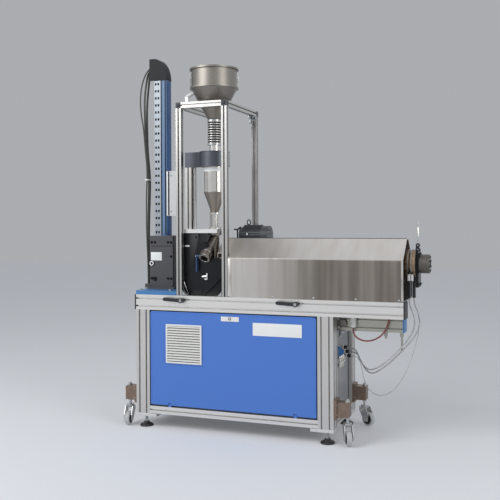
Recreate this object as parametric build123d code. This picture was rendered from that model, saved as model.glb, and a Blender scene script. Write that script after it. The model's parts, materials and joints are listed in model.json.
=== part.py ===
from build123d import *
import math
import os

# A laboratory plastic extruder on an aluminium profile frame, in millimetres.
# +X runs along the screw towards the die, +Y from the door side to the back, +Z up.
# The origin is the middle of the front left levelling foot, on the floor.

# Frame
leg_size = 80.0
foot_pitch_x = 1002.0
foot_pitch_y = 395.0
table_length = 1422.0
table_height = 707.0
back_beam_length = 1082.0
table_plate_thickness = 10.0
rail_size = 40.0
rail_lift = 2.0
end_cap_thickness = 8.0
# Slots of the frame profiles, one for each 40 mm of a side
slot_grid = 40.0
slot_mouth = 8.0
slot_lip = 4.0
slot_chamber = 15.0
slot_depth = 12.0
# Slots of the 30 mm stand profiles
small_slot_mouth = 8.0
small_slot_lip = 2.5
small_slot_chamber = 11.0
small_slot_depth = 8.5

# Feet
foot_plate_thickness = 16.0
foot_plate_reach = 38.0
foot_gap = 60.0
foot_radius = 36.0
foot_base_height = 6.0
foot_dome_height = 26.0
foot_neck_radius = 10.0
foot_stem_radius = 7.0
foot_nut_height = 9.0
foot_nut_flats = 24.0

# Casters
caster_block_width = 58.0
caster_block_depth = 60.0
caster_stem_offset = 60.0
caster_block_height = 72.0
caster_block_bottom = 138.0
caster_plate_thickness = 14.0
caster_plate_height = 96.0
caster_plate_width = 76.0
caster_stem_radius = 6.0
caster_nut_flats = 19.0
caster_nut_height = 8.0
caster_head_radius = 20.0
caster_head_height = 9.0
caster_total_height = 110.0
caster_floor_gap = 2.0
caster_wheel_radius = 36.0
caster_wheel_width = 26.0
caster_hub_radius = 11.0
caster_hub_gap = 1.0
caster_axle_radius = 4.0
caster_axle_clearance = 0.05
caster_trail = 25.0
caster_cheek_thickness = 3.0
caster_fork_plate = 4.0
caster_fork_gap = 7.0
swivel_clearance = 0.3
kingpin_clearance = 0.05
kingpin_nut_radius = 10.0
kingpin_nut_height = 6.0
# Angle of each wheel's trail, seen from above, from +X towards +Y
trail_angles = {"front_left": -82.0, "front_right": -66.0, "back_left": -60.0, "back_right": -28.0}

# Cabinet below the table
door_gap = 6.0
door_foot_gap = 9.0
door_depth = 20.0
door_sheet = 2.0
door_hinge_inset = 6.0
door_hinge_height = 4.0
hinge_pin_radius = 2.5
hinge_pin_clearance = 0.1
hinge_lug_width = 16.0
hinge_ear_thickness = 3.0
hinge_ear_gap = 1.0
hinge_offset = 110.0
panel_thickness = 3.0
fan_size = 204.0
fan_left = 180.0
fan_drop = 71.0
fan_frame_depth = 9.0
fan_frame_width = 17.0
fan_louvres = 14
fan_louvre_thickness = 3.0
fan_louvre_tilt = 40.0
fan_louvre_depth = 10.0
fan_box_depth = 62.0
fan_box_margin = 15.0
lock_left = 493.0
lock_width = 98.0
lock_height = 24.0
lock_drop = 26.0
lock_plate_thickness = 3.0
lock_barrel_radius = 8.0
lock_tongue_length = 22.0

# Table top, left end: base plate, drive unit and lift column, with heights above the table
base_plate_length = 238.0
base_plate_depth = 400.0
base_plate_thickness = 22.0
drive_left = 28.0
drive_width = 145.0
drive_front = 100.0
drive_depth = 190.0
drive_flange_thickness = 15.0
drive_flange_reach = 8.0
drive_height = 289.0
drive_seam_drop = 58.0
drive_seam_width = 4.0
drive_seam_depth = 5.0
drive_corner = 6.0
drive_boss_radius = 12.0
drive_glass_radius = 12.0
drive_gland_back = 22.0
drive_gland_width = 58.0
drive_gland_height = 22.0
drive_gland_reach = 32.0
mast_left = 80.0
mast_front = 140.0
mast_width = 36.0
mast_depth = 58.0
mast_height = 1163.0
rail_strip_width = 38.0
rail_strip_flange = 16.0
rail_strip_sheet = 2.5
rail_hole_pitch = 40.0
rail_hole_length = 14.0
rail_hole_width = 7.0
rail_holes = 12
cable_hood_left = 14.0
cable_hood_height = 120.0
cable_hood_sheet = 3.0
cable_hood_depth = 66.0
cable_hood_flat = 30.0
carriage_lift = 419.0
carriage_height = 245.0
carriage_width = 72.0
carriage_depth = 64.0
carriage_groove = 6.0

# Hopper stand
post_size = 30.0
stand_left = 240.0
stand_width = 288.0
stand_height = 1011.0

# Hopper and feed line, all on one upright axis. Bellows, vessel and feed pipe stretch alike to fill
# the run between the shelf and the hopper, whose heights are taken from the top of the stand.
hopper_x = 402.0
screw_y = 137.0
hopper_rim_rise = 188.0
hopper_rim_radius = 131.0
hopper_rim_height = 9.0
hopper_radius = 122.0
hopper_wall = 2.5
hopper_joint_rise = 80.0
hopper_joint_height = 10.0
hopper_joint_radius = 130.0
cone_end_drop = 86.0
cone_end_radius = 33.0
bellows_radius = 41.0
bellows_length = 129.0
bellows_folds = 11
bellows_depth = 7.0
feed_tube_radius = 30.0
feed_tube_length = 37.0
band_height = 81.0
band_radius = 80.0
band_plate_thickness = 14.0
vessel_radius = 58.0
vessel_length = 134.0
vessel_cone_length = 109.0
feed_pipe_length = 88.0
feed_pipe_radius = 18.0
feed_wall = 2.0
shelf_height = 347.0
shelf_thickness = 20.0
shelf_depth = 160.0
shelf_left = 236.0
shelf_length = 224.0
column_left = 236.0
column_size = 38.0
guide_rod_radius = 9.0
guide_rod_offset = 116.0
guide_rod_foot_radius = 11.5
guide_rod_foot_height = 46.0
tie_rod_radius = 3.0
tie_rod_offset = 27.0
collar_radius = 34.0
collar_height = 10.0
fit_clearance = 0.1

# Main gear case, feed throat and drain branch under the shelf
case_left = 246.0
case_width = 274.0
case_front = 52.0
case_depth = 170.0
case_height = 190.0
case_shoulder_width = 124.0
case_neck_height = 53.0
case_neck_width = 88.0
case_neck_fillet = 24.0
case_corner = 8.0
case_rib_thickness = 9.0
case_rib_reach = 14.0
case_ribs = 4
bearing_cover_radius = 60.0
bearing_cover_thickness = 10.0
bearing_cover_height = 105.0
throat_radius = 24.0
branch_radius = 21.0
branch_flange_radius = 36.0
branch_flange_height = 12.0
branch_drop = 120.0
branch_run_x = -8.0
branch_run_y = -124.0
ring_nut_radius = 30.0
ring_nut_length = 36.0
ring_nut_bore = 19.0
ring_nut_grooves = 12
ring_nut_groove_radius = 3.0
handle_length = 90.0
handle_width = 15.0
handle_thickness = 7.0
handle_offset = 44.0

# Barrel, hood and die
screw_height = 177.0
barrel_radius = 40.0
heater_radius = 58.0
heater_length = 160.0
heaters = 4
heater_gap = 40.0
hood_start = 530.0
hood_notch = 15.0
roof_overhang = 68.0
hood_bend = 199.0
hood_top = 298.0
hood_depth = 270.0
hood_flat = 40.0
hood_sheet = 2.5
tray_thickness = 6.0
cradle_thickness = 16.0
cradle_width = 90.0
adapter_steps = ((12.0, 70.0), (12.0, 48.0), (20.0, 68.0))
die_plate_thickness = 13.0
die_plate_width = 84.0
die_plate_top = 68.0
die_plate_bottom = 112.0
die_ring_gap = 3.0
die_ring_radius = 46.0
die_ring_length = 46.0
die_ring_rim = 5.0
die_bore_radius = 19.0
die_bore_depth = 30.0
sensor_radius = 3.0
sensor_length = 112.0
sensor_knob_radius = 12.0
sensor_knob_height = 24.0
plug_width = 12.0
plug_depth = 34.0
plug_height = 96.0
panel_plug_radius = 9.0
panel_plug_length = 28.0
panel_plugs = ((300.0, 412.0), (262.0, 440.0), (338.0, 384.0))

# Water manifold on the right side panel
manifold_front = 150.0
manifold_length = 100.0
manifold_drop = 309.0
manifold_height = 26.0
manifold_depth = 20.0
manifold_outlets = 3
manifold_nipple_radius = 6.0
manifold_nipple_length = 24.0
manifold_pipe_radius = 4.5
manifold_pipe_rise = 54.0
manifold_pipe_step = 12.0

# Low beam, tray supports, motor
low_beam_front = 120.0
low_beam_length = 396.0
low_beam_gap = 24.0
support_length = 60.0
# Drain nipples under the low beam: distance from its right end, and length
drain_nipples = ((13.0, 95.0), (92.0, 40.0))
drain_nipple_flats = 15.0
drain_nipple_nut = 28.0
drain_nipple_radius = 5.0
motor_left = 494.0
motor_y = 349.0
motor_radius = 58.0
motor_length = 103.0
motor_axis_height = 310.0
motor_pad_height = 60.0
motor_fins = 24
motor_fin_height = 7.0
motor_fin_thickness = 4.0
motor_end_length = 22.0
motor_end_radius = 46.0
shroud_radius = 52.0
shroud_length = 43.0
motor_stand_width = 84.0
motor_stand_sheet = 10.0
terminal_box_length = 62.0
terminal_box_width = 60.0
terminal_box_height = 34.0

# Clamp levers on the front beam
lever_left = 172.0
lever_pitch = 624.0
lever_length = 114.0
lever_drop = 24.0
lever_hub_radius = 13.0
lever_hub_length = 26.0
lever_arm_thickness = 12.0
lever_tip_height = 18.0
lever_rise = 5.0

# Cables and hose: radius, then corners as X from the frame's left end, Y from its front, height
hose_y = 100.0
hose_fittings = ((1158.0, 141.0, 11.0), (1337.0, 57.0, 8.0))
lift_cable_1 = (4.0, (
    (98, 148, 1870), (98, 148, 1930), (46, 148, 1960), (-6, 147, 1930), (-36, 141, 1857),
    (-43, 135, 1769), (-38, 134, 1690), (-22, 134, 1612), (-13, 134, 1495), (0, 134, 1378),
    (-6, 134, 1262), (-7, 133, 1145), (-5, 132, 1028), (1, 131, 912), (4, 131, 820),
    (4, 131, 754)))
lift_cable_2 = (5.5, (
    (98, 165, 1870), (98, 165, 1930), (46, 165, 1960), (-6, 164, 1930), (-19, 158, 1850),
    (-25, 151, 1770), (-23, 150, 1690), (-20, 150, 1600), (-14, 150, 1480), (2, 150, 1337),
    (-1, 150, 1215), (-5, 150, 1090), (-4, 149, 965), (0, 148, 850), (0, 148, 754)))
lift_cable_3 = (5.5, (
    (98, 182, 1870), (98, 182, 1930), (46, 182, 1960), (-6, 181, 1930), (-10, 175, 1850),
    (-16, 168, 1770), (-18, 166, 1690), (-17, 166, 1600), (-14, 166, 1480), (1, 166, 1337),
    (-3, 166, 1215), (-8, 166, 1090), (-9, 166, 965), (-4, 166, 850), (-4, 166, 754)))
die_cable_1 = (3.5, (
    (1428, 137, 718), (1428, 137, 685), (1448, 134, 645), (1457, 131, 600), (1448, 130, 556),
    (1418, 132, 508), (1374, 136, 456), (1322, 142, 405), (1272, 151, 366), (1228, 168, 346),
    (1190, 194, 360), (1158, 226, 398), (1132, 262, 440), (1090, 262, 440)))
die_cable_2 = (3.5, (
    (1452, 137, 720), (1452, 137, 688), (1473, 137, 648), (1480, 138, 600), (1469, 140, 554),
    (1436, 142, 506), (1390, 146, 454), (1336, 152, 398), (1280, 162, 352), (1234, 182, 326),
    (1194, 218, 338), (1160, 262, 376), (1132, 300, 412), (1090, 300, 412)))
die_wire = (1.5, (
    (1452, 149, 720), (1452, 149, 690), (1467, 150, 650), (1474, 151, 600), (1471, 152, 550),
    (1459, 154, 502), (1445, 157, 452), (1428, 161, 402), (1407, 168, 352), (1380, 178, 302),
    (1347, 190, 256), (1309, 203, 226), (1267, 219, 211), (1226, 236, 217), (1192, 258, 242),
    (1170, 284, 280), (1156, 308, 322), (1142, 327, 362), (1120, 338, 384), (1090, 338, 384)))
water_hose = (4.0, (
    (1158, 100, 566), (1158, 100, 537), (1181, 100, 512), (1218, 100, 501), (1260, 100, 508),
    (1299, 100, 532), (1326, 100, 570), (1337, 100, 615), (1337, 100, 650)))

# Places that follow from the sizes above
frame_left = -leg_size / 2
frame_front = -leg_size / 2
frame_back = foot_pitch_y + leg_size / 2
leg_right = foot_pitch_x - leg_size / 2
frame_right = foot_pitch_x + leg_size / 2
table_right = frame_left + table_length
beam_bottom = table_height - leg_size
leg_bottom = foot_gap + foot_plate_thickness
rail_bottom = leg_bottom + rail_lift
rail_top = rail_bottom + rail_size
axis_y = frame_front + screw_y
axis_x = frame_left + hopper_x
axis_z = table_height + screw_height
mast_top = table_height + mast_height
carriage_bottom = table_height + carriage_lift
shelf_top = table_height + shelf_height
under_shelf = shelf_top - shelf_thickness
stand_top = table_height + stand_height
hopper_rim_z = stand_top + hopper_rim_rise
hopper_joint_z = stand_top + hopper_joint_rise
cone_end_z = stand_top - cone_end_drop
feed_run = cone_end_z - shelf_top - feed_tube_length - band_height - vessel_cone_length
feed_stretch = feed_run / (bellows_length + vessel_length + feed_pipe_length)
vessel_cone_bottom = shelf_top + feed_stretch * feed_pipe_length
vessel_cone_top = vessel_cone_bottom + vessel_cone_length
band_bottom = vessel_cone_top + feed_stretch * vessel_length
band_top = band_bottom + band_height
bellows_bottom = band_top + feed_tube_length
fan_top = beam_bottom - fan_drop
door_left = leg_size / 2 + door_gap
door_right = leg_right - door_gap
door_bottom = rail_top + door_foot_gap
door_top = beam_bottom - door_gap
gland_bottom = table_height + base_plate_thickness + 3.0
gland_top = gland_bottom + drive_gland_height
hinge_y = frame_front + door_hinge_inset
hinge_z = door_bottom + door_hinge_height


def block(x0, x1, y0, y1, z0, z1):
    """A plain box between two corners."""
    return Pos((x0 + x1) / 2, (y0 + y1) / 2, (z0 + z1) / 2) * Box(x1 - x0, y1 - y0, z1 - z0)


def upright(x, y, z0, z1, radius):
    """A round bar along Z."""
    return Pos(x, y, (z0 + z1) / 2) * Cylinder(radius, z1 - z0)


def along_x(x0, x1, y, z, radius):
    """A round bar along X."""
    return Pos((x0 + x1) / 2, y, z) * Rot(0, 90, 0) * Cylinder(radius, x1 - x0)


def along_y(x, y0, y1, z, radius):
    """A round bar along Y."""
    return Pos(x, (y0 + y1) / 2, z) * Rot(90, 0, 0) * Cylinder(radius, y1 - y0)


def slot_places(side, grid):
    """Middle of each slot on a side, measured from the side's middle."""
    count = max(1, round(side / grid))
    return [(index - (count - 1) / 2) * side / count for index in range(count)]


def profile_section(width, depth, small=False):
    """Slotted section of an aluminium profile, centred on the origin."""
    mouth = small_slot_mouth if small else slot_mouth
    lip = small_slot_lip if small else slot_lip
    chamber = small_slot_chamber if small else slot_chamber
    deep = small_slot_depth if small else slot_depth
    grid = post_size if small else slot_grid
    section = Rectangle(width, depth)
    slot = Pos(0, -lip / 2) * Rectangle(mouth, lip)
    slot += Pos(0, -(lip + deep) / 2) * Rectangle(chamber, deep - lip)
    for place in slot_places(width, grid):
        section -= Pos(place, depth / 2) * slot
        section -= Pos(place, -depth / 2) * Rot(0, 0, 180) * slot
    for place in slot_places(depth, grid):
        section -= Pos(width / 2, place) * Rot(0, 0, -90) * slot
        section -= Pos(-width / 2, place) * Rot(0, 0, 90) * slot
    return section


def profile_bar(x0, x1, y0, y1, z0, z1, axis, small=False):
    """A slotted profile that fills a box and runs along one axis."""
    size = {"X": x1 - x0, "Y": y1 - y0, "Z": z1 - z0}
    middle = Pos((x0 + x1) / 2, (y0 + y1) / 2, (z0 + z1) / 2)
    if axis == "Z":
        bar = extrude(profile_section(size["X"], size["Y"], small), size["Z"] / 2, both=True)
        return middle * bar
    if axis == "X":
        bar = extrude(profile_section(size["Y"], size["Z"], small), size["X"] / 2, both=True)
        return middle * Rot(0, 0, 90) * Rot(90, 0, 0) * bar
    bar = extrude(profile_section(size["X"], size["Z"], small), size["Y"] / 2, both=True)
    return middle * Rot(90, 0, 0) * bar


def turned(points, x, y):
    """A solid turned about an upright axis from radius and height points."""
    outline = Polyline(*[(radius, 0, height) for radius, height in points], close=True)
    return Pos(x, y, 0) * revolve(make_face(outline), Axis.Z)


def prism_x(points, x0, x1):
    """A prism along X from points in Y and Z."""
    outline = Polyline(*[(x0, y, z) for y, z in points], close=True)
    return extrude(make_face(outline), amount=x1 - x0, dir=(1, 0, 0))


def hexagon(x, y, z0, z1, flats):
    """A hexagon nut along Z."""
    return Pos(x, y, z0) * extrude(RegularPolygon(flats / 2, 6, major_radius=False), z1 - z0)


def cord(points, radius):
    """A round cable through corner points, in frame measures, with a tangent arc at each corner."""
    corners = [Vector(frame_left + x, frame_front + y, z) for x, y, z in points]
    bends = []
    for before, corner, after in zip(corners, corners[1:], corners[2:]):
        into = corner - before
        out = after - corner
        half_turn = math.radians(into.get_angle(out)) / 2
        bends.append(0.45 * min(into.length, out.length) / math.tan(half_turn))
    path = FilletPolyline(*corners, radius=bends)
    return sweep(Plane(origin=path @ 0, z_dir=path % 0) * Circle(radius), path)


def save(name, *solids):
    """Write the solids of one sub-part to its file."""
    shape = solids[0] if len(solids) == 1 else Compound(children=list(solids))
    export_step(shape, os.path.join("parts", name + ".step"))


def build_frame():
    """Legs, beams, rails and feet of the profile frame."""
    half = leg_size / 2
    corners = [(0.0, 0.0), (foot_pitch_x, 0.0), (0.0, foot_pitch_y), (foot_pitch_x, foot_pitch_y)]
    leg = profile_bar(-half, half, -half, half, leg_bottom, beam_bottom, "Z")
    legs = []
    feet = []
    for x, y in corners:
        legs.append(Pos(x, y, 0) * leg)
        inward = 1 if x == 0 else -1
        reach = sorted((x - inward * half, x + inward * (half + foot_plate_reach)))
        feet.append(block(reach[0], reach[1], y - half, y + half, foot_gap, leg_bottom))
        foot = turned([
            (0, 0), (foot_radius, 0), (foot_radius, foot_base_height),
            (foot_neck_radius, foot_dome_height), (0, foot_dome_height)], x, y)
        foot += upright(x, y, foot_dome_height, foot_gap, foot_stem_radius)
        foot += hexagon(x, y, foot_gap - foot_nut_height, foot_gap, foot_nut_flats)
        feet.append(foot)
    save("legs", *legs)
    save("levelling_feet", *feet)

    inner_front = frame_front + leg_size
    inner_back = frame_back - leg_size
    back_end = frame_left + back_beam_length
    save("top_beams",
         profile_bar(frame_left, table_right, frame_front, inner_front, beam_bottom, table_height, "X"),
         profile_bar(frame_left, back_end, inner_back, frame_back, beam_bottom, table_height, "X"),
         profile_bar(-half, half, inner_front, inner_back, beam_bottom, table_height, "Y"),
         profile_bar(leg_right, frame_right, inner_front, inner_back, beam_bottom, table_height, "Y"))
    save("table_plate", block(half, leg_right, inner_front, inner_back,
                              table_height - table_plate_thickness, table_height))
    caps = [block(frame_left - end_cap_thickness, frame_left, y, y + leg_size, beam_bottom, table_height)
            for y in (frame_front, inner_back)]
    caps.append(block(table_right, table_right + end_cap_thickness, frame_front, inner_front,
                      beam_bottom, table_height))
    caps.append(block(back_end, back_end + end_cap_thickness, inner_back, frame_back,
                      beam_bottom, table_height))
    save("beam_end_caps", *caps)

    long_rails = [profile_bar(half, leg_right, y, y + rail_size, rail_bottom, rail_top, "X")
                  for y in (frame_front, frame_back - rail_size)]
    side_rails = [profile_bar(x, x + rail_size, inner_front, inner_back, rail_bottom, rail_top, "Y")
                  for x in (frame_left, frame_right - rail_size)]
    save("bottom_rails", *long_rails, *side_rails)


def build_low_beam():
    """Low beam under the barrel end, its end cap and the supports of the tray."""
    y0 = frame_front + low_beam_front
    y1 = y0 + leg_size
    x1 = table_right - low_beam_gap
    x0 = x1 - low_beam_length
    z0 = beam_bottom - leg_size
    supports = [block(x, x + support_length, y0, y1, beam_bottom, table_height)
                for x in (frame_right, x1 - support_length)]
    nipples = []
    slot_y = y1 - leg_size / 4
    for from_end, length in drain_nipples:
        nipple = hexagon(x1 - from_end, slot_y, z0 - drain_nipple_nut, z0, drain_nipple_flats)
        nipple += upright(x1 - from_end, slot_y, z0 - length, z0, drain_nipple_radius)
        nipples.append(nipple)
    save("low_beam", profile_bar(x0, x1, y0, y1, z0, beam_bottom, "X"), *supports, *nipples)
    save("low_beam_cap", block(x1, x1 + end_cap_thickness, y0, y1, z0, beam_bottom))


def build_cabinet():
    """Side, back and floor panels of the cabinet, and its door."""
    x0 = leg_size / 2
    inner_front = frame_front + leg_size
    inner_back = frame_back - leg_size
    left_x = frame_left + rail_size / 2
    right_x = frame_right - rail_size / 2
    back_y = frame_back - rail_size / 2
    floor_top = rail_top + panel_thickness
    floor = block(left_x + panel_thickness, right_x - panel_thickness, inner_front, inner_back,
                  rail_top, floor_top)
    floor += block(x0, leg_right, frame_front + rail_size / 2, back_y, rail_top, floor_top)
    right = block(right_x - panel_thickness, right_x, inner_front, inner_back, rail_top, beam_bottom)
    beam_y = frame_front + low_beam_front
    right -= block(leg_right, frame_right, beam_y, beam_y + leg_size, beam_bottom - leg_size, beam_bottom)
    save("cabinet_panels",
         block(left_x, left_x + panel_thickness, inner_front, inner_back, rail_top, beam_bottom),
         right,
         block(x0, leg_right, back_y - panel_thickness, back_y, floor_top, beam_bottom),
         floor)


def build_manifold():
    """Water manifold on the right side panel, with nipples below and elbows up into the panel."""
    x0 = frame_right - rail_size / 2
    x1 = x0 + manifold_depth
    y0 = frame_front + manifold_front
    top = table_height - manifold_drop
    bottom = top - manifold_height
    middle = (x0 + x1) / 2
    manifold = block(x0, x1, y0, y0 + manifold_length, bottom, top)
    for index in range(manifold_outlets):
        y = y0 + (index + 0.5) * manifold_length / manifold_outlets
        rise = manifold_pipe_rise - index * manifold_pipe_step
        manifold += upright(middle, y, bottom - manifold_nipple_length, bottom, manifold_nipple_radius)
        manifold += upright(middle, y, top, top + rise, manifold_pipe_radius)
        manifold += Pos(middle, y, top + rise) * Sphere(manifold_pipe_radius)
        manifold += along_x(x0, middle, y, top + rise, manifold_pipe_radius)
    save("water_manifold", manifold)


def hinge_places():
    """Middle of each door hinge along X."""
    return [door_left + hinge_offset, door_right - hinge_offset]


def build_door():
    """Folded sheet door that drops open about its bottom edge."""
    y0 = frame_front
    y1 = y0 + door_depth
    door = block(door_left, door_right, y0, y1, door_bottom, door_top)
    door -= block(door_left + door_sheet, door_right - door_sheet, y0 + door_sheet, y1,
                  door_bottom + door_sheet, door_top - door_sheet)
    half_lug = hinge_lug_width / 2
    lugs = []
    pin_hole_radius = hinge_pin_radius + hinge_pin_clearance
    ear_top = hinge_z + 2 * hinge_pin_radius
    for x in hinge_places():
        notch = half_lug + hinge_ear_gap
        door -= block(x - notch, x + notch, y0, y1, door_bottom, hinge_z + 2.5 * hinge_pin_radius)
        for side in (-1, 1):
            near = x + side * notch
            far = near + side * hinge_ear_thickness
            ear = block(min(near, far), max(near, far), y0 + door_sheet, hinge_y + 2 * hinge_pin_radius,
                        door_bottom, ear_top)
            door += ear
            door -= along_x(min(near, far), max(near, far), hinge_y, hinge_z, pin_hole_radius)
        lug = block(x - half_lug, x + half_lug, hinge_y - hinge_pin_radius, hinge_y + 2 * hinge_pin_radius,
                    rail_top, hinge_z + hinge_pin_radius)
        pin_half = notch + hinge_ear_thickness
        lug += along_x(x - pin_half, x + pin_half, hinge_y, hinge_z, hinge_pin_radius)
        lugs.append(lug)
    save("door_hinge_lugs", *lugs)

    fan_x0 = frame_left + fan_left
    fan_z0 = fan_top - fan_size
    box_x0 = fan_x0 + fan_box_margin
    box_z0 = fan_z0 + fan_box_margin
    box_size = fan_size - 2 * fan_box_margin
    opening = block(box_x0, box_x0 + box_size, y0, y1, box_z0, box_z0 + box_size)
    door -= opening

    lock_x = frame_left + lock_left + lock_width / 2
    lock_z = door_top - lock_drop
    door -= along_y(lock_x, y0, y0 + door_sheet, lock_z, lock_barrel_radius)
    save("door", door)

    grille = block(fan_x0, fan_x0 + fan_size, y0 - fan_frame_depth, y0, fan_z0, fan_z0 + fan_size)
    grille -= block(fan_x0 + fan_frame_width, fan_x0 + fan_size - fan_frame_width,
                    y0 - fan_frame_depth, y0, fan_z0 + fan_frame_width, fan_z0 + fan_size - fan_frame_width)
    inside = fan_size - 2 * fan_frame_width
    pitch = inside / fan_louvres
    for index in range(fan_louvres):
        z = fan_z0 + fan_frame_width + (index + 0.5) * pitch
        slat = Rot(fan_louvre_tilt, 0, 0) * Box(inside, fan_louvre_depth, fan_louvre_thickness)
        grille += Pos(fan_x0 + fan_size / 2, y0 - fan_frame_depth / 2, z) * slat
    grille &= block(fan_x0, fan_x0 + fan_size, y0 - fan_frame_depth, y0, fan_z0, fan_z0 + fan_size)
    fan_box = block(box_x0, box_x0 + box_size, y0, y0 + fan_box_depth, box_z0, box_z0 + box_size)
    save("filter_fan", grille, fan_box)

    lock = block(frame_left + lock_left, frame_left + lock_left + lock_width,
                 y0 - lock_plate_thickness, y0, lock_z - lock_height / 2, lock_z + lock_height / 2)
    lock += along_y(lock_x, y0 - 2 * lock_plate_thickness, y1, lock_z, lock_barrel_radius)
    lock += block(lock_x - lock_barrel_radius, lock_x + lock_barrel_radius, y1, y1 + lock_plate_thickness,
                  lock_z - lock_barrel_radius, lock_z - lock_barrel_radius + lock_tongue_length)
    save("door_lock", lock)


def build_casters():
    """Four swivel casters on steel blocks beside the legs."""
    blocks = []
    head_top = caster_total_height
    head_bottom = head_top - caster_head_height
    plate_top = head_bottom - swivel_clearance
    plate_bottom = plate_top - caster_fork_plate
    wheel_z = caster_wheel_radius + caster_floor_gap
    for name, (x, y) in {
            "front_left": (0.0, 0.0), "front_right": (foot_pitch_x, 0.0),
            "back_left": (0.0, foot_pitch_y), "back_right": (foot_pitch_x, foot_pitch_y)}.items():
        outward = -1 if x == 0 else 1
        face_x = x + outward * leg_size / 2
        plate_x = face_x + outward * caster_plate_thickness
        stem_x = face_x + outward * caster_stem_offset
        block_x = plate_x + outward * caster_block_width
        block_top = caster_block_bottom + caster_block_height
        middle_z = caster_block_bottom + caster_block_height / 2
        holder = block(min(face_x, plate_x), max(face_x, plate_x),
                       y - caster_plate_width / 2, y + caster_plate_width / 2,
                       middle_z - caster_plate_height / 2, middle_z + caster_plate_height / 2)
        holder += block(min(plate_x, block_x), max(plate_x, block_x),
                        y - caster_block_depth / 2, y + caster_block_depth / 2,
                        caster_block_bottom, block_top)
        holder += upright(stem_x, y, head_bottom, block_top + 2 * caster_nut_height, caster_stem_radius)
        holder += hexagon(stem_x, y, block_top, block_top + caster_nut_height, caster_nut_flats)
        holder += hexagon(stem_x, y, caster_block_bottom - caster_nut_height, caster_block_bottom,
                          caster_nut_flats)
        holder += upright(stem_x, y, head_bottom, head_top, caster_head_radius)
        nut_top = plate_bottom - swivel_clearance
        nut_bottom = nut_top - kingpin_nut_height
        holder += upright(stem_x, y, nut_bottom, head_bottom, caster_stem_radius)
        holder += upright(stem_x, y, nut_bottom, nut_top, kingpin_nut_radius)
        blocks.append(holder)

        fork = Cylinder(caster_head_radius + 1.5, caster_fork_plate)
        fork = Pos(0, 0, (plate_top + plate_bottom) / 2) * fork
        cheek_y = caster_wheel_width / 2 + caster_fork_gap
        outline = Polyline(
            (-caster_head_radius, plate_top), (caster_head_radius, plate_top),
            (caster_trail + 16, wheel_z + 20), (caster_trail + 12, wheel_z - 12),
            (caster_trail - 12, wheel_z - 12), (-caster_head_radius, plate_top - 22), close=True)
        cheek = extrude(Plane.XZ * make_face(outline), caster_cheek_thickness / 2, both=True)
        fork += Pos(0, cheek_y, 0) * cheek
        fork += Pos(0, -cheek_y, 0) * cheek
        fork += Pos(0, 0, (plate_top + plate_bottom) / 2) * Box(
            2 * caster_head_radius - 4, 2 * cheek_y + caster_cheek_thickness, caster_fork_plate)
        axle = Pos(caster_trail, 0, wheel_z) * Rot(90, 0, 0) * Cylinder(
            caster_axle_radius, 2 * cheek_y + 3 * caster_cheek_thickness)
        fork += axle
        fork -= upright(0, 0, plate_bottom, plate_top, caster_stem_radius + kingpin_clearance)
        place = Pos(stem_x, y, 0) * Rot(0, 0, trail_angles[name])
        save("caster_" + name + "_fork", place * fork)

        wheel = Cylinder(caster_wheel_radius, caster_wheel_width)
        wheel = fillet(wheel.edges().filter_by(GeomType.CIRCLE), 5.0)
        wheel += Cylinder(caster_hub_radius, 2 * (cheek_y - caster_cheek_thickness / 2 - caster_hub_gap))
        wheel -= Cylinder(caster_axle_radius + caster_axle_clearance, 4 * cheek_y)
        wheel = Pos(caster_trail, 0, wheel_z) * Rot(90, 0, 0) * wheel
        save("caster_" + name + "_wheel", place * wheel)
    save("caster_blocks", *blocks)


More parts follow.
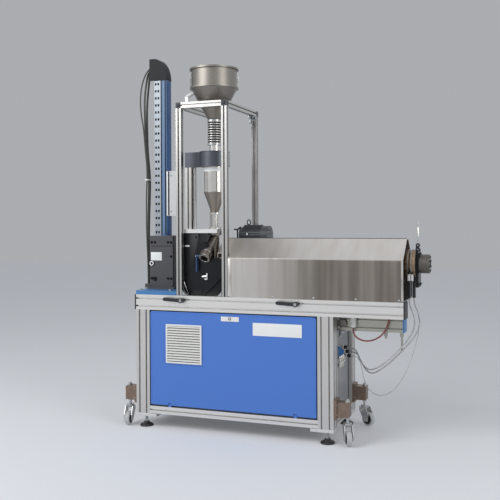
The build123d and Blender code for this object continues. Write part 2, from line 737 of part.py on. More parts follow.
def build_drive():
    """Base plate, drive unit, lift column, perforated rail, cable hood and carriage."""
    z0 = table_height
    plate_top = z0 + base_plate_thickness
    save("base_plate", block(frame_left, frame_left + base_plate_length, frame_front,
                             frame_front + base_plate_depth, z0, plate_top))
    x0 = frame_left + drive_left
    x1 = x0 + drive_width
    y0 = frame_front + drive_front
    y1 = y0 + drive_depth
    top = plate_top + drive_height
    unit = block(x0, x1, y0, y1, plate_top, top)
    unit = fillet(unit.edges().filter_by(Axis.Z), drive_corner)
    unit += block(x0 - drive_flange_reach, x1 + drive_flange_reach, y0 - drive_flange_reach,
                  y1 + drive_flange_reach, plate_top, plate_top + drive_flange_thickness)
    seam_z = top - drive_seam_drop
    seam = block(x0 - 1, x1 + 1, y0 - 1, y1 + 1, seam_z, seam_z + drive_seam_width)
    seam -= block(x0 + drive_seam_depth, x1 - drive_seam_depth, y0 + drive_seam_depth,
                  y1 - drive_seam_depth, seam_z, seam_z + drive_seam_width)
    unit -= seam
    low = plate_top + drive_flange_thickness
    unit += along_y(x0 + 2.8 * drive_boss_radius, y0 - 4, y0 + 4, low + 3.4 * drive_boss_radius,
                    drive_boss_radius)
    glass_z = low + 0.43 * drive_height
    unit += along_y(x0 + 1.4 * drive_glass_radius, y0 - 5, y0 + 4, glass_z, drive_glass_radius)
    gland_y = y0 + drive_gland_back
    unit += block(x0 - drive_flange_reach - drive_gland_reach, x0, gland_y, gland_y + drive_gland_width,
                  gland_bottom, gland_top)
    save("drive_unit", unit)

    mast_x = frame_left + mast_left
    mast_y = frame_front + mast_front
    save("lift_mast", block(mast_x, mast_x + mast_width, mast_y, mast_y + mast_depth, top, mast_top))

    strip_x = mast_x - rail_strip_width
    strip = block(strip_x, mast_x, mast_y, mast_y + rail_strip_flange, top, mast_top)
    strip -= block(strip_x + rail_strip_sheet, mast_x - rail_strip_sheet, mast_y + rail_strip_sheet,
                   mast_y + rail_strip_flange, top, mast_top)
    run = mast_top - top
    for index in range(rail_holes):
        z = top + run * (index + 0.5) / rail_holes
        for share in (0.3, 0.7):
            strip -= block(strip_x + share * rail_strip_width - rail_hole_width / 2,
                           strip_x + share * rail_strip_width + rail_hole_width / 2,
                           mast_y, mast_y + rail_strip_sheet,
                           z - rail_hole_length / 2, z + rail_hole_length / 2)
    save("perforated_rail", strip)

    hood_x0 = frame_left + cable_hood_left
    hood_x1 = mast_x + mast_width
    hood_y0 = mast_y + mast_depth / 2 - cable_hood_depth / 2
    hood_y1 = hood_y0 + cable_hood_depth
    hood_z1 = mast_top + cable_hood_height

    def hood_outline(inset):
        left = hood_x0
        right = hood_x1 - inset
        high = hood_z1 - inset
        bend = hood_x0 + cable_hood_flat
        lines = Line((left, mast_top), (left, high)) + Line((left, high), (bend, high))
        lines += EllipticalCenterArc((bend, mast_top), right - bend, high - mast_top, arc_size=90)
        lines += Line((right, mast_top), (left, mast_top))
        return make_face(lines)

    outer = Pos(0, hood_y1, 0) * extrude(Rot(90, 0, 0) * hood_outline(0), cable_hood_depth, dir=(0, -1, 0))
    inner = Pos(0, hood_y1 - cable_hood_sheet, 0) * extrude(
        Rot(90, 0, 0) * hood_outline(cable_hood_sheet), cable_hood_depth - 2 * cable_hood_sheet,
        dir=(0, -1, 0))
    save("cable_hood", outer - inner)

    car_x = mast_x + mast_width
    car_y = mast_y + (mast_depth - carriage_depth) / 2
    carriage = block(car_x, car_x + carriage_width, car_y, car_y + carriage_depth,
                     carriage_bottom, carriage_bottom + carriage_height)
    groove_x = car_x + 2 * carriage_groove
    carriage -= block(groove_x, groove_x + carriage_groove, car_y, car_y + carriage_groove,
                      carriage_bottom, carriage_bottom + carriage_height)
    save("carriage", carriage)


def build_stand():
    """Slim profile stand that carries the hopper."""
    x0 = frame_left + stand_left
    x1 = x0 + stand_width - post_size
    y0 = frame_front
    y1 = frame_back - post_size
    top = stand_top
    cube_bottom = top - post_size
    posts = []
    cubes = []
    for x in (x0, x1):
        for y in (y0, y1):
            posts.append(profile_bar(x, x + post_size, y, y + post_size, table_height, cube_bottom,
                                     "Z", True))
            cubes.append(block(x, x + post_size, y, y + post_size, cube_bottom, top))
    save("stand_corner_cubes", *cubes)
    bars = [profile_bar(x0 + post_size, x1, y, y + post_size, cube_bottom, top, "X", True) for y in (y0, y1)]
    bars += [profile_bar(x, x + post_size, y0 + post_size, y1, cube_bottom, top, "Y", True) for x in (x0, x1)]
    save("stand_frame", *posts, *bars)


def build_feed_line():
    """Hopper, bellows, magnet band, vessel and feed pipe on one upright axis."""
    x, y = axis_x, axis_y
    wall = hopper_wall
    save("hopper", turned([
        (hopper_radius, hopper_joint_z + hopper_joint_height),
        (hopper_radius, hopper_rim_z - hopper_rim_height),
        (hopper_rim_radius, hopper_rim_z - hopper_rim_height), (hopper_rim_radius, hopper_rim_z),
        (hopper_radius - wall, hopper_rim_z), (hopper_radius - wall, hopper_joint_z),
        (cone_end_radius - wall, cone_end_z), (cone_end_radius, cone_end_z),
        (hopper_radius, hopper_joint_z), (hopper_joint_radius, hopper_joint_z),
        (hopper_joint_radius, hopper_joint_z + hopper_joint_height)], x, y))

    pitch = (cone_end_z - bellows_bottom) / bellows_folds
    valley = bellows_radius - bellows_depth
    inner = feed_tube_radius - wall
    points = [(inner, cone_end_z), (inner, bellows_bottom), (valley, bellows_bottom)]
    for index in range(bellows_folds):
        z = bellows_bottom + index * pitch
        points += [(bellows_radius, z + 0.3 * pitch), (bellows_radius, z + 0.7 * pitch), (valley, z + pitch)]
    save("bellows", turned(points, x, y))

    column_x = frame_left + column_left
    band = upright(x, y, band_bottom, band_top, band_radius)
    band += block(column_x, x, y - column_size / 2, y - column_size / 2 + band_plate_thickness,
                  band_bottom, band_top)
    band -= upright(x, y, band_bottom, band_top, feed_tube_radius)
    save("magnet_band", band)

    bore = feed_pipe_radius - feed_wall
    save("feed_vessel", turned([
        (inner, bellows_bottom), (feed_tube_radius, bellows_bottom), (feed_tube_radius, band_bottom),
        (vessel_radius, band_bottom), (vessel_radius, vessel_cone_top),
        (feed_pipe_radius, vessel_cone_bottom), (feed_pipe_radius, under_shelf), (bore, under_shelf),
        (bore, vessel_cone_bottom), (vessel_radius - feed_wall, vessel_cone_top),
        (vessel_radius - feed_wall, band_bottom - feed_wall), (inner, band_bottom - feed_wall)], x, y))

    shelf_x = frame_left + shelf_left
    shelf_right = shelf_x + shelf_length
    shelf_front = frame_front + post_size
    shelf = block(shelf_x, shelf_right, shelf_front, shelf_front + shelf_depth, under_shelf, shelf_top)
    shelf -= upright(x, y, under_shelf, shelf_top, feed_pipe_radius + fit_clearance)
    save("shelf", shelf)
    column = profile_bar(column_x, column_x + column_size, y - column_size / 2, y + column_size / 2,
                         shelf_top, band_bottom, "Z", True)
    rod_x = x - guide_rod_offset
    rod = upright(rod_x, y, shelf_top, band_bottom, guide_rod_radius)
    rod += upright(rod_x, y, shelf_top, shelf_top + guide_rod_foot_height, guide_rod_foot_radius)
    save("bracket_column", column, rod)

    collars = []
    for low in (shelf_top, vessel_cone_bottom - collar_height):
        collar = upright(x, y, low, low + collar_height, collar_radius)
        collar -= upright(x, y, low, low + collar_height, feed_pipe_radius + fit_clearance)
        collars.append(collar)
    ties = collars[0] + collars[1]
    for side in (-1, 1):
        ties += upright(x + side * tie_rod_offset, y, shelf_top, vessel_cone_bottom, tie_rod_radius)
    save("pipe_collars", ties)


def build_case():
    """Cast gear case under the shelf, the feed throat on it and the drain branch with its ring nut."""
    x0 = frame_left + case_left
    x1 = x0 + case_width
    y0 = frame_front + case_front
    y1 = y0 + case_depth
    z0 = table_height
    z1 = z0 + case_height
    shoulder_x = x0 + case_shoulder_width
    shoulder_z = under_shelf - case_neck_height
    neck_x = x0 + case_neck_width
    case = block(x0, x1, y0, y1, z0, z1)
    case += block(x0, shoulder_x, y0, y1, z1, shoulder_z)
    case += block(x0, neck_x, y0, y1, shoulder_z, under_shelf)
    round_corner = Pos(neck_x + case_neck_fillet, 0, shoulder_z + case_neck_fillet) * Rot(90, 0, 0)
    corner = block(neck_x, neck_x + case_neck_fillet, y0, y1, shoulder_z, shoulder_z + case_neck_fillet)
    corner -= round_corner * Cylinder(case_neck_fillet, 4 * case_depth)
    case += corner
    tall_edges = case.edges().filter_by(Axis.Z).filter_by(lambda edge: edge.length > case_height / 2)
    case = fillet(tall_edges, case_corner)
    cover_x = x0 + 0.5 * case_width
    cover_z = z0 + bearing_cover_height
    case += along_y(cover_x, y0 - bearing_cover_thickness, y0, cover_z, bearing_cover_radius)
    for index in range(case_ribs):
        x = x0 + case_corner + (index + 0.5) * (case_width - 2 * case_corner) / case_ribs
        case += prism_x([(y0 - case_rib_reach, z0), (y0, z0), (y0, cover_z)],
                        x - case_rib_thickness / 2, x + case_rib_thickness / 2)
    save("gear_case", case)

    flange = upright(axis_x, axis_y, under_shelf - branch_flange_height, under_shelf, branch_flange_radius)
    start = Vector(axis_x, axis_y, under_shelf - branch_flange_height)
    run = Vector(branch_run_x, branch_run_y, -branch_drop)
    along = run.normalized()
    pipe = Plane(origin=start - along * branch_radius, z_dir=along)
    branch = extrude(pipe * Circle(branch_radius), run.length + branch_radius)
    branch -= block(axis_x - collar_radius * 2, axis_x + collar_radius * 2, axis_y - collar_radius * 2,
                    axis_y + collar_radius * 2, under_shelf, shelf_top)
    branch += flange
    branch += upright(axis_x, axis_y, z1, under_shelf - branch_flange_height, throat_radius)
    end = Plane(origin=start + run, z_dir=along)
    branch -= extrude(end * Circle(ring_nut_bore), -ring_nut_length)
    nut = extrude(end * Circle(ring_nut_radius), -ring_nut_length)
    nut -= extrude(end * Circle(branch_radius), -ring_nut_length)
    for index in range(ring_nut_grooves):
        angle = index * 2 * math.pi / ring_nut_grooves
        groove = Pos(ring_nut_radius * math.cos(angle), ring_nut_radius * math.sin(angle))
        nut -= extrude(end * groove * Circle(ring_nut_groove_radius), -ring_nut_length)
    save("drain_branch", branch, nut)

    pivot = start + along * (run.length - ring_nut_length / 2)
    hub_x = pivot.X - handle_offset
    handle = along_x(hub_x, pivot.X, pivot.Y, pivot.Z, handle_width / 2)
    handle -= extrude(end * Circle(ring_nut_radius), -run.length)
    handle += block(hub_x - handle_thickness, hub_x, pivot.Y - handle_width / 2, pivot.Y + handle_width / 2,
                    pivot.Z + handle_width / 2 - handle_length, pivot.Z + handle_width / 2)
    save("branch_lever", handle)


def hood_section(inset, x0, x1):
    """Prism of the hood's roof shape, its front and back pulled in by an inset."""
    y0 = frame_front + inset
    y1 = frame_front + hood_depth - inset
    slope = (hood_depth - hood_flat) / 2
    bend = table_height + hood_bend - 0.4 * inset
    top = table_height + hood_top - inset
    return prism_x([
        (y0, table_height), (y0, bend), (frame_front + slope + 0.4 * inset, top),
        (frame_front + hood_depth - slope - 0.4 * inset, top), (y1, bend), (y1, table_height)], x0, x1)


def build_barrel():
    """Barrel with heater bands, its tray and hood, and the die at the end."""
    x0 = frame_left + case_left + case_width
    barrel_end = table_right
    y, z = axis_y, axis_z
    save("barrel", along_x(x0, barrel_end, y, z, barrel_radius))
    bands = []
    first = table_right - heaters * (heater_length + heater_gap)
    for index in range(heaters):
        start = first + index * (heater_length + heater_gap)
        band = along_x(start, start + heater_length, y, z, heater_radius)
        band -= along_x(start, start + heater_length, y, z, barrel_radius)
        bands.append(band)
    save("heater_bands", *bands)

    hood_x = frame_left + hood_start
    tray_front = frame_front + hood_sheet
    tray_back = frame_front + hood_depth - hood_sheet
    tray_x = hood_x + hood_notch
    tray = block(tray_x, table_right, tray_front, tray_back, table_height, table_height + tray_thickness)
    cradles = []
    for index in (0, heaters - 1):
        start = first + index * (heater_length + heater_gap) - (heater_gap + cradle_thickness) / 2
        cradle = block(start, start + cradle_thickness, y - cradle_width / 2, y + cradle_width / 2,
                       table_height + tray_thickness, z)
        cradle -= along_x(start, start + cradle_thickness, y, z, barrel_radius)
        cradles.append(cradle)
    fittings = [upright(frame_left + x, frame_front + hose_y, table_height - drop, table_height, radius)
                for x, drop, radius in hose_fittings]
    save("barrel_tray", tray, *cradles, *fittings)

    hood = hood_section(0, hood_x, table_right) - hood_section(hood_sheet, hood_x, table_right)
    hood -= block(hood_x, hood_x + hood_notch, frame_front, frame_front + hood_sheet, table_height,
                  table_height + hood_bend - hood_sheet)
    roof_x = hood_x - roof_overhang
    roof = hood_section(0, roof_x, hood_x) - hood_section(hood_sheet, roof_x + hood_sheet, hood_x)
    roof &= block(roof_x, hood_x, frame_front + post_size, frame_front + hood_depth,
                  table_height + hood_bend, table_height + hood_top)
    hood += roof
    save("barrel_hood", hood)

    x = barrel_end
    adapter = None
    for length, radius in adapter_steps:
        step = along_x(x, x + length, y, z, radius)
        adapter = step if adapter is None else adapter + step
        x += length
    save("barrel_adapter", adapter)
    plate = block(x, x + die_plate_thickness, y - die_plate_width / 2, y + die_plate_width / 2,
                  z - die_plate_bottom, z + die_plate_top)
    save("die_plate", plate)
    x += die_plate_thickness
    ring = along_x(x, x + die_ring_gap, y, z, die_ring_radius - die_ring_rim)
    ring += along_x(x + die_ring_gap, x + die_ring_gap + die_ring_length, y, z, die_ring_radius)
    end = x + die_ring_gap + die_ring_length
    ring -= along_x(end - die_bore_depth, end, y, z, die_bore_radius)
    save("die_ring", ring)

    sensor_x = x - die_plate_thickness / 2
    knob_z = z + die_plate_top
    sensor = upright(sensor_x, y, knob_z, knob_z + sensor_knob_height, sensor_knob_radius)
    sensor += upright(sensor_x, y, knob_z, knob_z + sensor_knob_height + sensor_length, sensor_radius)
    save("melt_sensor", sensor)

    first_length, first_radius = adapter_steps[0]
    last_length, last_radius = adapter_steps[-1]
    plugs = []
    for plug_x, reach in ((barrel_end, first_radius), (x - die_plate_thickness - last_length, last_radius)):
        plug = block(plug_x, plug_x + plug_width, y - plug_depth / 2, y + plug_depth / 2,
                     z - reach - plug_height, z - reach * 0.9)
        plug -= along_x(plug_x, plug_x + plug_width, y, z, reach)
        plugs.append(plug)
    panel_x = frame_right - rail_size / 2
    for plug_y, plug_z in panel_plugs:
        plugs.append(along_x(panel_x, panel_x + panel_plug_length, frame_front + plug_y, plug_z,
                             panel_plug_radius))
    save("cable_plugs", *plugs)


def build_motor():
    """Finned motor behind the hood on a bracket from the back beam."""
    x0 = frame_left + motor_left
    x1 = x0 + motor_length
    y = frame_front + motor_y
    z = table_height + motor_axis_height
    motor = along_x(x0, x1, y, z, motor_radius - motor_fin_height)
    reach = 2 * motor_radius
    fin = Box(motor_length, motor_fin_thickness, reach)
    fins = [Pos((x0 + x1) / 2, y, z) * Rot(index * 360 / motor_fins, 0, 0) * fin
            for index in range(motor_fins // 2)]
    motor += fins
    motor += along_x(x0 - motor_end_length, x0, y, z, motor_end_radius)
    motor += along_x(x1, x1 + shroud_length, y, z, shroud_radius)
    motor += block((x0 + x1 - terminal_box_length) / 2, (x0 + x1 + terminal_box_length) / 2,
                   y - terminal_box_width / 2, y + terminal_box_width / 2,
                   z - motor_radius - terminal_box_height / 2, z)
    motor += block(x0, x1, y, y + motor_radius, z - motor_pad_height / 2, z + motor_pad_height / 2)
    save("motor", motor)
    stand_x = (x0 + x1 - motor_stand_width) / 2
    front = y + motor_radius
    back = frame_back - post_size
    stand = block(stand_x, stand_x + motor_stand_width, front, front + motor_stand_sheet, table_height,
                  z + motor_pad_height / 2)
    stand += block(stand_x, stand_x + motor_stand_width, front, back, table_height,
                   table_height + motor_stand_sheet)
    web = prism_x([(front + motor_stand_sheet, table_height + motor_stand_sheet),
                   (back, table_height + motor_stand_sheet),
                   (front + motor_stand_sheet, z - motor_radius)],
                  stand_x, stand_x + motor_stand_sheet)
    stand += web
    stand += Pos(motor_stand_width - motor_stand_sheet, 0, 0) * web
    save("motor_bracket", stand)


def build_levers():
    """Two clamping levers on the front beam."""
    levers = []
    z = table_height - lever_drop
    y1 = frame_front
    y0 = y1 - lever_hub_length
    for index in range(2):
        x0 = frame_left + lever_left + index * lever_pitch
        x1 = x0 + lever_length
        hub_x = x1 - lever_hub_radius
        lever = along_y(hub_x, y0, y1, z, lever_hub_radius)
        tip_x = x0 + lever_tip_height / 2
        arm = extrude(Plane.XZ * make_face(Polyline(
            (hub_x, z - lever_tip_height / 2), (hub_x, z + lever_tip_height / 2),
            (tip_x, z + lever_rise + lever_tip_height / 2),
            (tip_x, z + lever_rise - lever_tip_height / 2), close=True)), lever_arm_thickness)
        lever += Pos(0, y0 + lever_arm_thickness, 0) * arm
        lever += along_y(tip_x, y0, y0 + lever_arm_thickness, z + lever_rise, lever_tip_height / 2)
        levers.append(lever)
    save("clamp_levers", *levers)


def build_cords():
    """Lift cables beside the column, cables of the die and the cooling hose under the tray."""
    save("lift_cable_1", cord(lift_cable_1[1], lift_cable_1[0]))
    save("lift_cable_2", cord(lift_cable_2[1], lift_cable_2[0]))
    save("lift_cable_3", cord(lift_cable_3[1], lift_cable_3[0]))
    save("die_cable_1", cord(die_cable_1[1], die_cable_1[0]))
    save("die_cable_2", cord(die_cable_2[1], die_cable_2[0]))
    save("die_wire", cord(die_wire[1], die_wire[0]))
    save("water_hose", cord(water_hose[1], water_hose[0]))


def build():
    os.makedirs("parts", exist_ok=True)
    build_frame()
    build_low_beam()
    build_cabinet()
    build_manifold()
    build_door()
    build_casters()
    build_drive()
    build_stand()
    build_feed_line()
    build_case()
    build_barrel()
    build_motor()
    build_levers()
    build_cords()


build()
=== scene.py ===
import json
import math

import bmesh
import bpy
from mathutils import Matrix, Vector


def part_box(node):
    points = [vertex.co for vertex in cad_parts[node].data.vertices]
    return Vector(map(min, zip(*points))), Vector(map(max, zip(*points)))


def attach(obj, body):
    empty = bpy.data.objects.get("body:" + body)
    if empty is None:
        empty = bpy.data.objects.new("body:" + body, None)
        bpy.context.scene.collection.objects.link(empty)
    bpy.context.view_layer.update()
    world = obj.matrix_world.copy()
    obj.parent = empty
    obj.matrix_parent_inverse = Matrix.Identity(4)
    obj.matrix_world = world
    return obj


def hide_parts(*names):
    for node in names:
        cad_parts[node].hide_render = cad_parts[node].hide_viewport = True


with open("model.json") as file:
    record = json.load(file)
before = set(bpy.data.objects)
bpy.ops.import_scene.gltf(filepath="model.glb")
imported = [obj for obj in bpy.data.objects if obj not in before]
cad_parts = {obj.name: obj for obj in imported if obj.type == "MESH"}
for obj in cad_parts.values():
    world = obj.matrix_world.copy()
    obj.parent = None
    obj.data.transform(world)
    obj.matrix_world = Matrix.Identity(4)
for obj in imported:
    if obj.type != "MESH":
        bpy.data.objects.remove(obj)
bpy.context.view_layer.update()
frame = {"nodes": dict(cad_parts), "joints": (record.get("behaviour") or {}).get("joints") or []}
scene = bpy.context.scene
scene.view_settings.view_transform = "Standard"

# Camera
# The machine stands square to the upright of the picture and is seen from the front, a third of the way
# round to its die end, from chest height. The lens is shifted down a little, as on a studio camera.
camera_place = Vector((1.97485, -3.65011, 1.09027))
camera_heading = math.radians(20.654)
camera_roll = math.radians(-0.297)
camera_data = bpy.data.cameras.new("camera")
camera_data.sensor_fit = "HORIZONTAL"
camera_data.angle = math.radians(36.256)
camera_data.shift_y = -0.0559
camera = bpy.data.objects.new("camera", camera_data)
camera.matrix_world = (Matrix.Translation(camera_place) @ Matrix.Rotation(camera_heading, 4, "Z")
                       @ Matrix.Rotation(math.radians(90), 4, "X") @ Matrix.Rotation(camera_roll, 4, "Z"))
scene.collection.objects.link(camera)
scene.camera = camera


# Studio
# A pale paper floor, one large soft lamp from the front left, a weaker one from the right and an even
# pale surround, so that bare metal has something light to mirror and a paint renders as it is written.
def linear(code):
    """An sRGB hex colour as linear red, green, blue and alpha."""
    shares = [int(code[start:start + 2], 16) / 255 for start in (1, 3, 5)]
    return tuple(s / 12.92 if s <= 0.04045 else ((s + 0.055) / 1.055) ** 2.4 for s in shares) + (1.0,)


def new_material(name, sockets):
    """A material whose shader holds every value that is the same all over."""
    material = bpy.data.materials.new(name)
    material.use_nodes = True
    shader = material.node_tree.nodes["Principled BSDF"]
    for socket, value in sockets.items():
        shader.inputs[socket].default_value = value
    return material, shader


def add(owner, kind, values=None, links=None, **settings):
    """Add one node to a material or world: its settings, its socket values and what feeds its sockets."""
    tree = owner.node_tree
    item = tree.nodes.new(kind)
    for setting, value in settings.items():
        setattr(item, setting, value)
    for socket, value in (values or {}).items():
        item.inputs[socket].default_value = value
    for socket, source in (links or {}).items():
        tree.links.new(source, item.inputs[socket])
    return item


floor_reach = 14.0
paper_grey = linear("#DEE0E4")
floor_material, _ = new_material("studio paper", {
    "Roughness": 0.9, "Specular IOR Level": 0.1, "Base Color": paper_grey, "Emission Color": paper_grey,
    "Emission Strength": 0.115})
floor_corners = [(x * floor_reach, y * floor_reach, 0) for x, y in ((-1, -1), (1, -1), (1, 1), (-1, 1))]
floor_mesh = bpy.data.meshes.new("studio_floor")
floor_mesh.from_pydata(floor_corners, [], [(0, 1, 2, 3)])
floor_mesh.materials.append(floor_material)
studio_floor = bpy.data.objects.new("studio_floor", floor_mesh)
scene.collection.objects.link(studio_floor)

world = bpy.data.worlds.new("studio")
world.use_nodes = True
scene.world = world
surround = world.node_tree.nodes["Background"]
surround.inputs["Color"].default_value = linear("#DDE0E4")
path = add(world, "ShaderNodeLightPath")
mirrored = add(world, "ShaderNodeMath", {}, {
    0: path.outputs["Is Glossy Ray"], 1: path.outputs["Is Transmission Ray"]}, operation="MAXIMUM")
fill_strength = 0.56
strength = add(world, "ShaderNodeMapRange", {"To Min": fill_strength, "To Max": 1.0},
               {0: mirrored.outputs[0]})
world.node_tree.links.new(strength.outputs[0], surround.inputs["Strength"])


def soft_lamp(name, stand, target, size, power):
    """A square area lamp aimed at a point."""
    lamp = bpy.data.lights.new(name, "AREA")
    lamp.size = size
    lamp.energy = power
    thing = bpy.data.objects.new(name, lamp)
    aim = (Vector(target) - Vector(stand)).to_track_quat("-Z", "Y")
    thing.matrix_world = Matrix.Translation(stand) @ aim.to_matrix().to_4x4()
    scene.collection.objects.link(thing)


soft_lamp("key_lamp", (-1.9, -3.0, 3.3), (0.6, 0.2, 0.9), size=2.6, power=106)
soft_lamp("side_lamp", (4.2, -1.6, 2.2), (0.9, 0.2, 0.8), size=2.0, power=42)

# Profile frame
# Legs, beams and rails are extruded aluminium with T slots, sawn to length and natural anodised. The oxide
# is a satin pale grey, and the die leaves faint lines along each bar.
beam_low, beam_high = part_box("top_beams")
legs_low, legs_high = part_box("legs")
leg_size = 0.080
corner = Vector((beam_low.x, beam_low.y, 0.0))
left = Vector((-1, 0, 0))
right = Vector((1, 0, 0))
front = Vector((0, -1, 0))
up = Vector((0, 0, 1))
down = Vector((0, 0, -1))
bare_metal = {"Metallic": 1.0}


def place(x, y, z):
    """A point measured from the frame's left end, its front face and the floor."""
    return corner + Vector((x, y, z))


def grain(material, shader, light, dark, size, stretch=(1.0, 1.0, 1.0), depth=0.0, polish=None, detail=3.0):
    """Two close colours, and bump and roughness, from grains of a real size drawn out along an axis.

    Grains and brush lines under a millimetre are too fine to show, so they are drawn as 1.2 to 3 mm.
    """
    where = add(material, "ShaderNodeTexCoord")
    drawn = add(material, "ShaderNodeMapping", {"Scale": tuple(1 / (size * s) for s in stretch)},
                {"Vector": where.outputs["Object"]})
    noise = add(material, "ShaderNodeTexNoise", {"Scale": 1.0, "Detail": detail},
                {"Vector": drawn.outputs[0]})
    mix = add(material, "ShaderNodeMix", {6: linear(dark), 7: linear(light)}, {0: noise.outputs["Fac"]},
              data_type="RGBA")
    material.node_tree.links.new(mix.outputs[2], shader.inputs["Base Color"])
    if depth:
        bump = add(material, "ShaderNodeBump", {"Strength": 1.0, "Distance": depth},
                   {"Height": noise.outputs["Fac"]})
        material.node_tree.links.new(bump.outputs[0], shader.inputs["Normal"])
    if polish:
        spread = add(material, "ShaderNodeMapRange", {"To Min": polish[0], "To Max": polish[1]},
                     {0: noise.outputs["Fac"]})
        material.node_tree.links.new(spread.outputs[0], shader.inputs["Roughness"])
    return mix


def surface(name, sockets, light, dark, size, **texture):
    """A material of one grain: what is the same all over, its two colours and the grain's size."""
    material, shader = new_material(name, sockets)
    grain(material, shader, light, dark, size, **texture)
    return material


def anodised(along, stretch, light, dark):
    """Anodised aluminium whose die lines, half a millimetre wide, are drawn as 2 mm so that they show."""
    return surface("anodised aluminium along " + along, bare_metal, light, dark, 0.002, stretch=stretch,
                   depth=0.00006, polish=(0.3, 0.42))


def dress(material, *nodes):
    """Give parts of the frame as packed their finish."""
    for node in nodes:
        slots = frame["nodes"][node].data.materials
        slots.clear()
        slots.append(material)


extruded_x = anodised("x", (90, 1, 1), "#EEECE9", "#DDDAD6")
dress(extruded_x, "top_beams", "bottom_rails")
dress(anodised("z", (1, 1, 90), "#DAD8D5", "#C8C5C1"), "legs")

# Brackets and screws of the frame
# The stand's posts and the low beam are held by die cast angle brackets with one screw in each leaf. They
# are zinc plated: bright steel under a thin crystalline coat, blotchy over a few millimetres.
zinc = surface("zinc plated steel", bare_metal, "#D4D6D6", "#A3A6A8", 0.005, depth=0.0001, polish=(0.2, 0.4))


def lathe(shape, start, along, profile, sides=20):
    """Turn (distance, radius) points about a line; a radius of zero closes the end."""
    start = Vector(start)
    along = Vector(along).normalized()
    across = along.orthogonal().normalized()
    beside = along.cross(across)
    rings = []
    for distance, radius in profile:
        middle = start + along * distance
        if radius == 0:
            rings.append([shape.verts.new(middle)])
            continue
        turns = [2 * math.pi * index / sides for index in range(sides)]
        rings.append([shape.verts.new(middle + (across * math.cos(turn) + beside * math.sin(turn)) * radius)
                      for turn in turns])
    for near, far in zip(rings, rings[1:]):
        for index in range(sides):
            after = (index + 1) % sides
            if len(near) == 1:
                shape.faces.new((near[0], far[index], far[after]))
            elif len(far) == 1:
                shape.faces.new((near[index], far[0], near[after]))
            else:
                shape.faces.new((near[index], far[index], far[after], near[after]))


def box(shape, low, high, rounding=0.0, turn=None):
    """A box between two corners with its edges rounded, turned by a matrix if one is given."""
    low = Vector(low)
    high = Vector(high)
    span = high - low
    made = bmesh.ops.create_cube(shape, size=1.0)["verts"]
    for vert in made:
        vert.co = Vector((vert.co.x * span.x, vert.co.y * span.y, vert.co.z * span.z)) + (low + high) / 2
    if rounding:
        edges = list(dict.fromkeys(edge for vert in made for edge in vert.link_edges))
        rounded = bmesh.ops.bevel(shape, geom=edges, offset=rounding, segments=2, affect="EDGES", profile=0.6)
        left_over = [vert for vert in made if vert.is_valid]
        made = list(dict.fromkeys([vert for face in rounded["faces"] for vert in face.verts] + left_over))
    if turn is not None:
        bmesh.ops.transform(shape, matrix=turn, verts=made)


def cap_screw(shape, seat, along, radius):
    """A socket head screw standing on its seat, with a washer under the head and a hexagon socket."""
    along = Vector(along).normalized()
    washer = 1.5 * radius
    head = 1.2 * radius
    socket = 0.55 * radius
    lathe(shape, seat, along, (
        (0, 0), (0, washer), (0.25 * radius, washer), (0.25 * radius, radius), (1.05 * radius, radius),
        (head, 0.85 * radius), (head, socket)), 16)
    lathe(shape, Vector(seat) + along * head, along, (
        (0, socket), (-0.6 * radius, 0.5 * radius), (-0.6 * radius, 0)), 6)


def piece(name, shape, material, slot, body="machine", sharp=35.0, instead_of=None):
    """Make an object of a drawn shape, smooth but for its sharp edges, and let it ride on a body."""
    bmesh.ops.recalc_face_normals(shape, faces=shape.faces)
    mesh = bpy.data.meshes.new(name)
    shape.to_mesh(mesh)
    shape.free()
    mesh.materials.append(material)
    mesh.shade_smooth()
    mesh.set_sharp_from_angle(angle=math.radians(sharp))
    thing = bpy.data.objects.new(name, mesh)
    scene.collection.objects.link(thing)
    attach(thing, body)
    if instead_of:
        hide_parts(instead_of)


def angle_bracket(shape, screws, foot, out, rise, size=0.028):
    """A cast angle bracket in a corner: one leaf lies along out, the other stands along rise."""
    thick = 0.004
    rib_thick = 0.003
    screw_reach = size * 0.6
    screw_radius = 0.0045
    foot = Vector(foot)
    side = out.cross(rise)
    half = size / 2
    leaves = ((foot, foot + out * size + rise * thick), (foot, foot + rise * size + out * thick))
    for start, stop in leaves:
        ends = (start - side * half, stop + side * half, start + side * half, stop - side * half)
        box(shape, [min(point[axis] for point in ends) for axis in range(3)],
            [max(point[axis] for point in ends) for axis in range(3)], 0.0008)
    for turn in (-1, 1):
        rib_foot = foot + side * turn * (half - rib_thick)
        rib = (rib_foot, rib_foot + out * size, rib_foot + rise * size)
        near = [shape.verts.new(point) for point in rib]
        far = [shape.verts.new(point + side * turn * rib_thick) for point in rib]
        shape.faces.new(near)
        shape.faces.new(far)
        for index in range(3):
            after = (index + 1) % 3
            shape.faces.new((near[index], near[after], far[after], far[index]))
    cap_screw(screws, foot + out * screw_reach + rise * thick, rise, screw_radius)
    cap_screw(screws, foot + rise * screw_reach + out * thick, out, screw_radius)


post_size = 0.030
stand_low, stand_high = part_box("stand_frame")
posts_x = (stand_low.x, stand_high.x - post_size)
low_cap_low, low_cap_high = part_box("low_beam_cap")
brackets = bmesh.new()
bracket_screws = bmesh.new()
for post_x, side in ((posts_x[0], right), (posts_x[1], right), (posts_x[1], left)):
    edge = post_x + post_size if side == right else post_x
    for post_y in (stand_low.y, stand_high.y - post_size):
        angle_bracket(brackets, bracket_screws, (edge, post_y + post_size / 2, beam_high.z), side, up)
for post_x in posts_x:
    foot = (post_x + post_size / 2, stand_high.y - post_size, stand_high.z - post_size)
    angle_bracket(brackets, bracket_screws, foot, front, down)
for drop in (0.020, 0.060):
    cap_screw(bracket_screws, (legs_high.x, low_cap_low.y - 0.020, low_cap_high.z - drop), right, 0.0065)
angle_bracket(brackets, bracket_screws, (legs_high.x, low_cap_low.y + 0.020, low_cap_low.z), right, down,
              size=0.036)
piece("frame_brackets", brackets, zinc, "zinc")
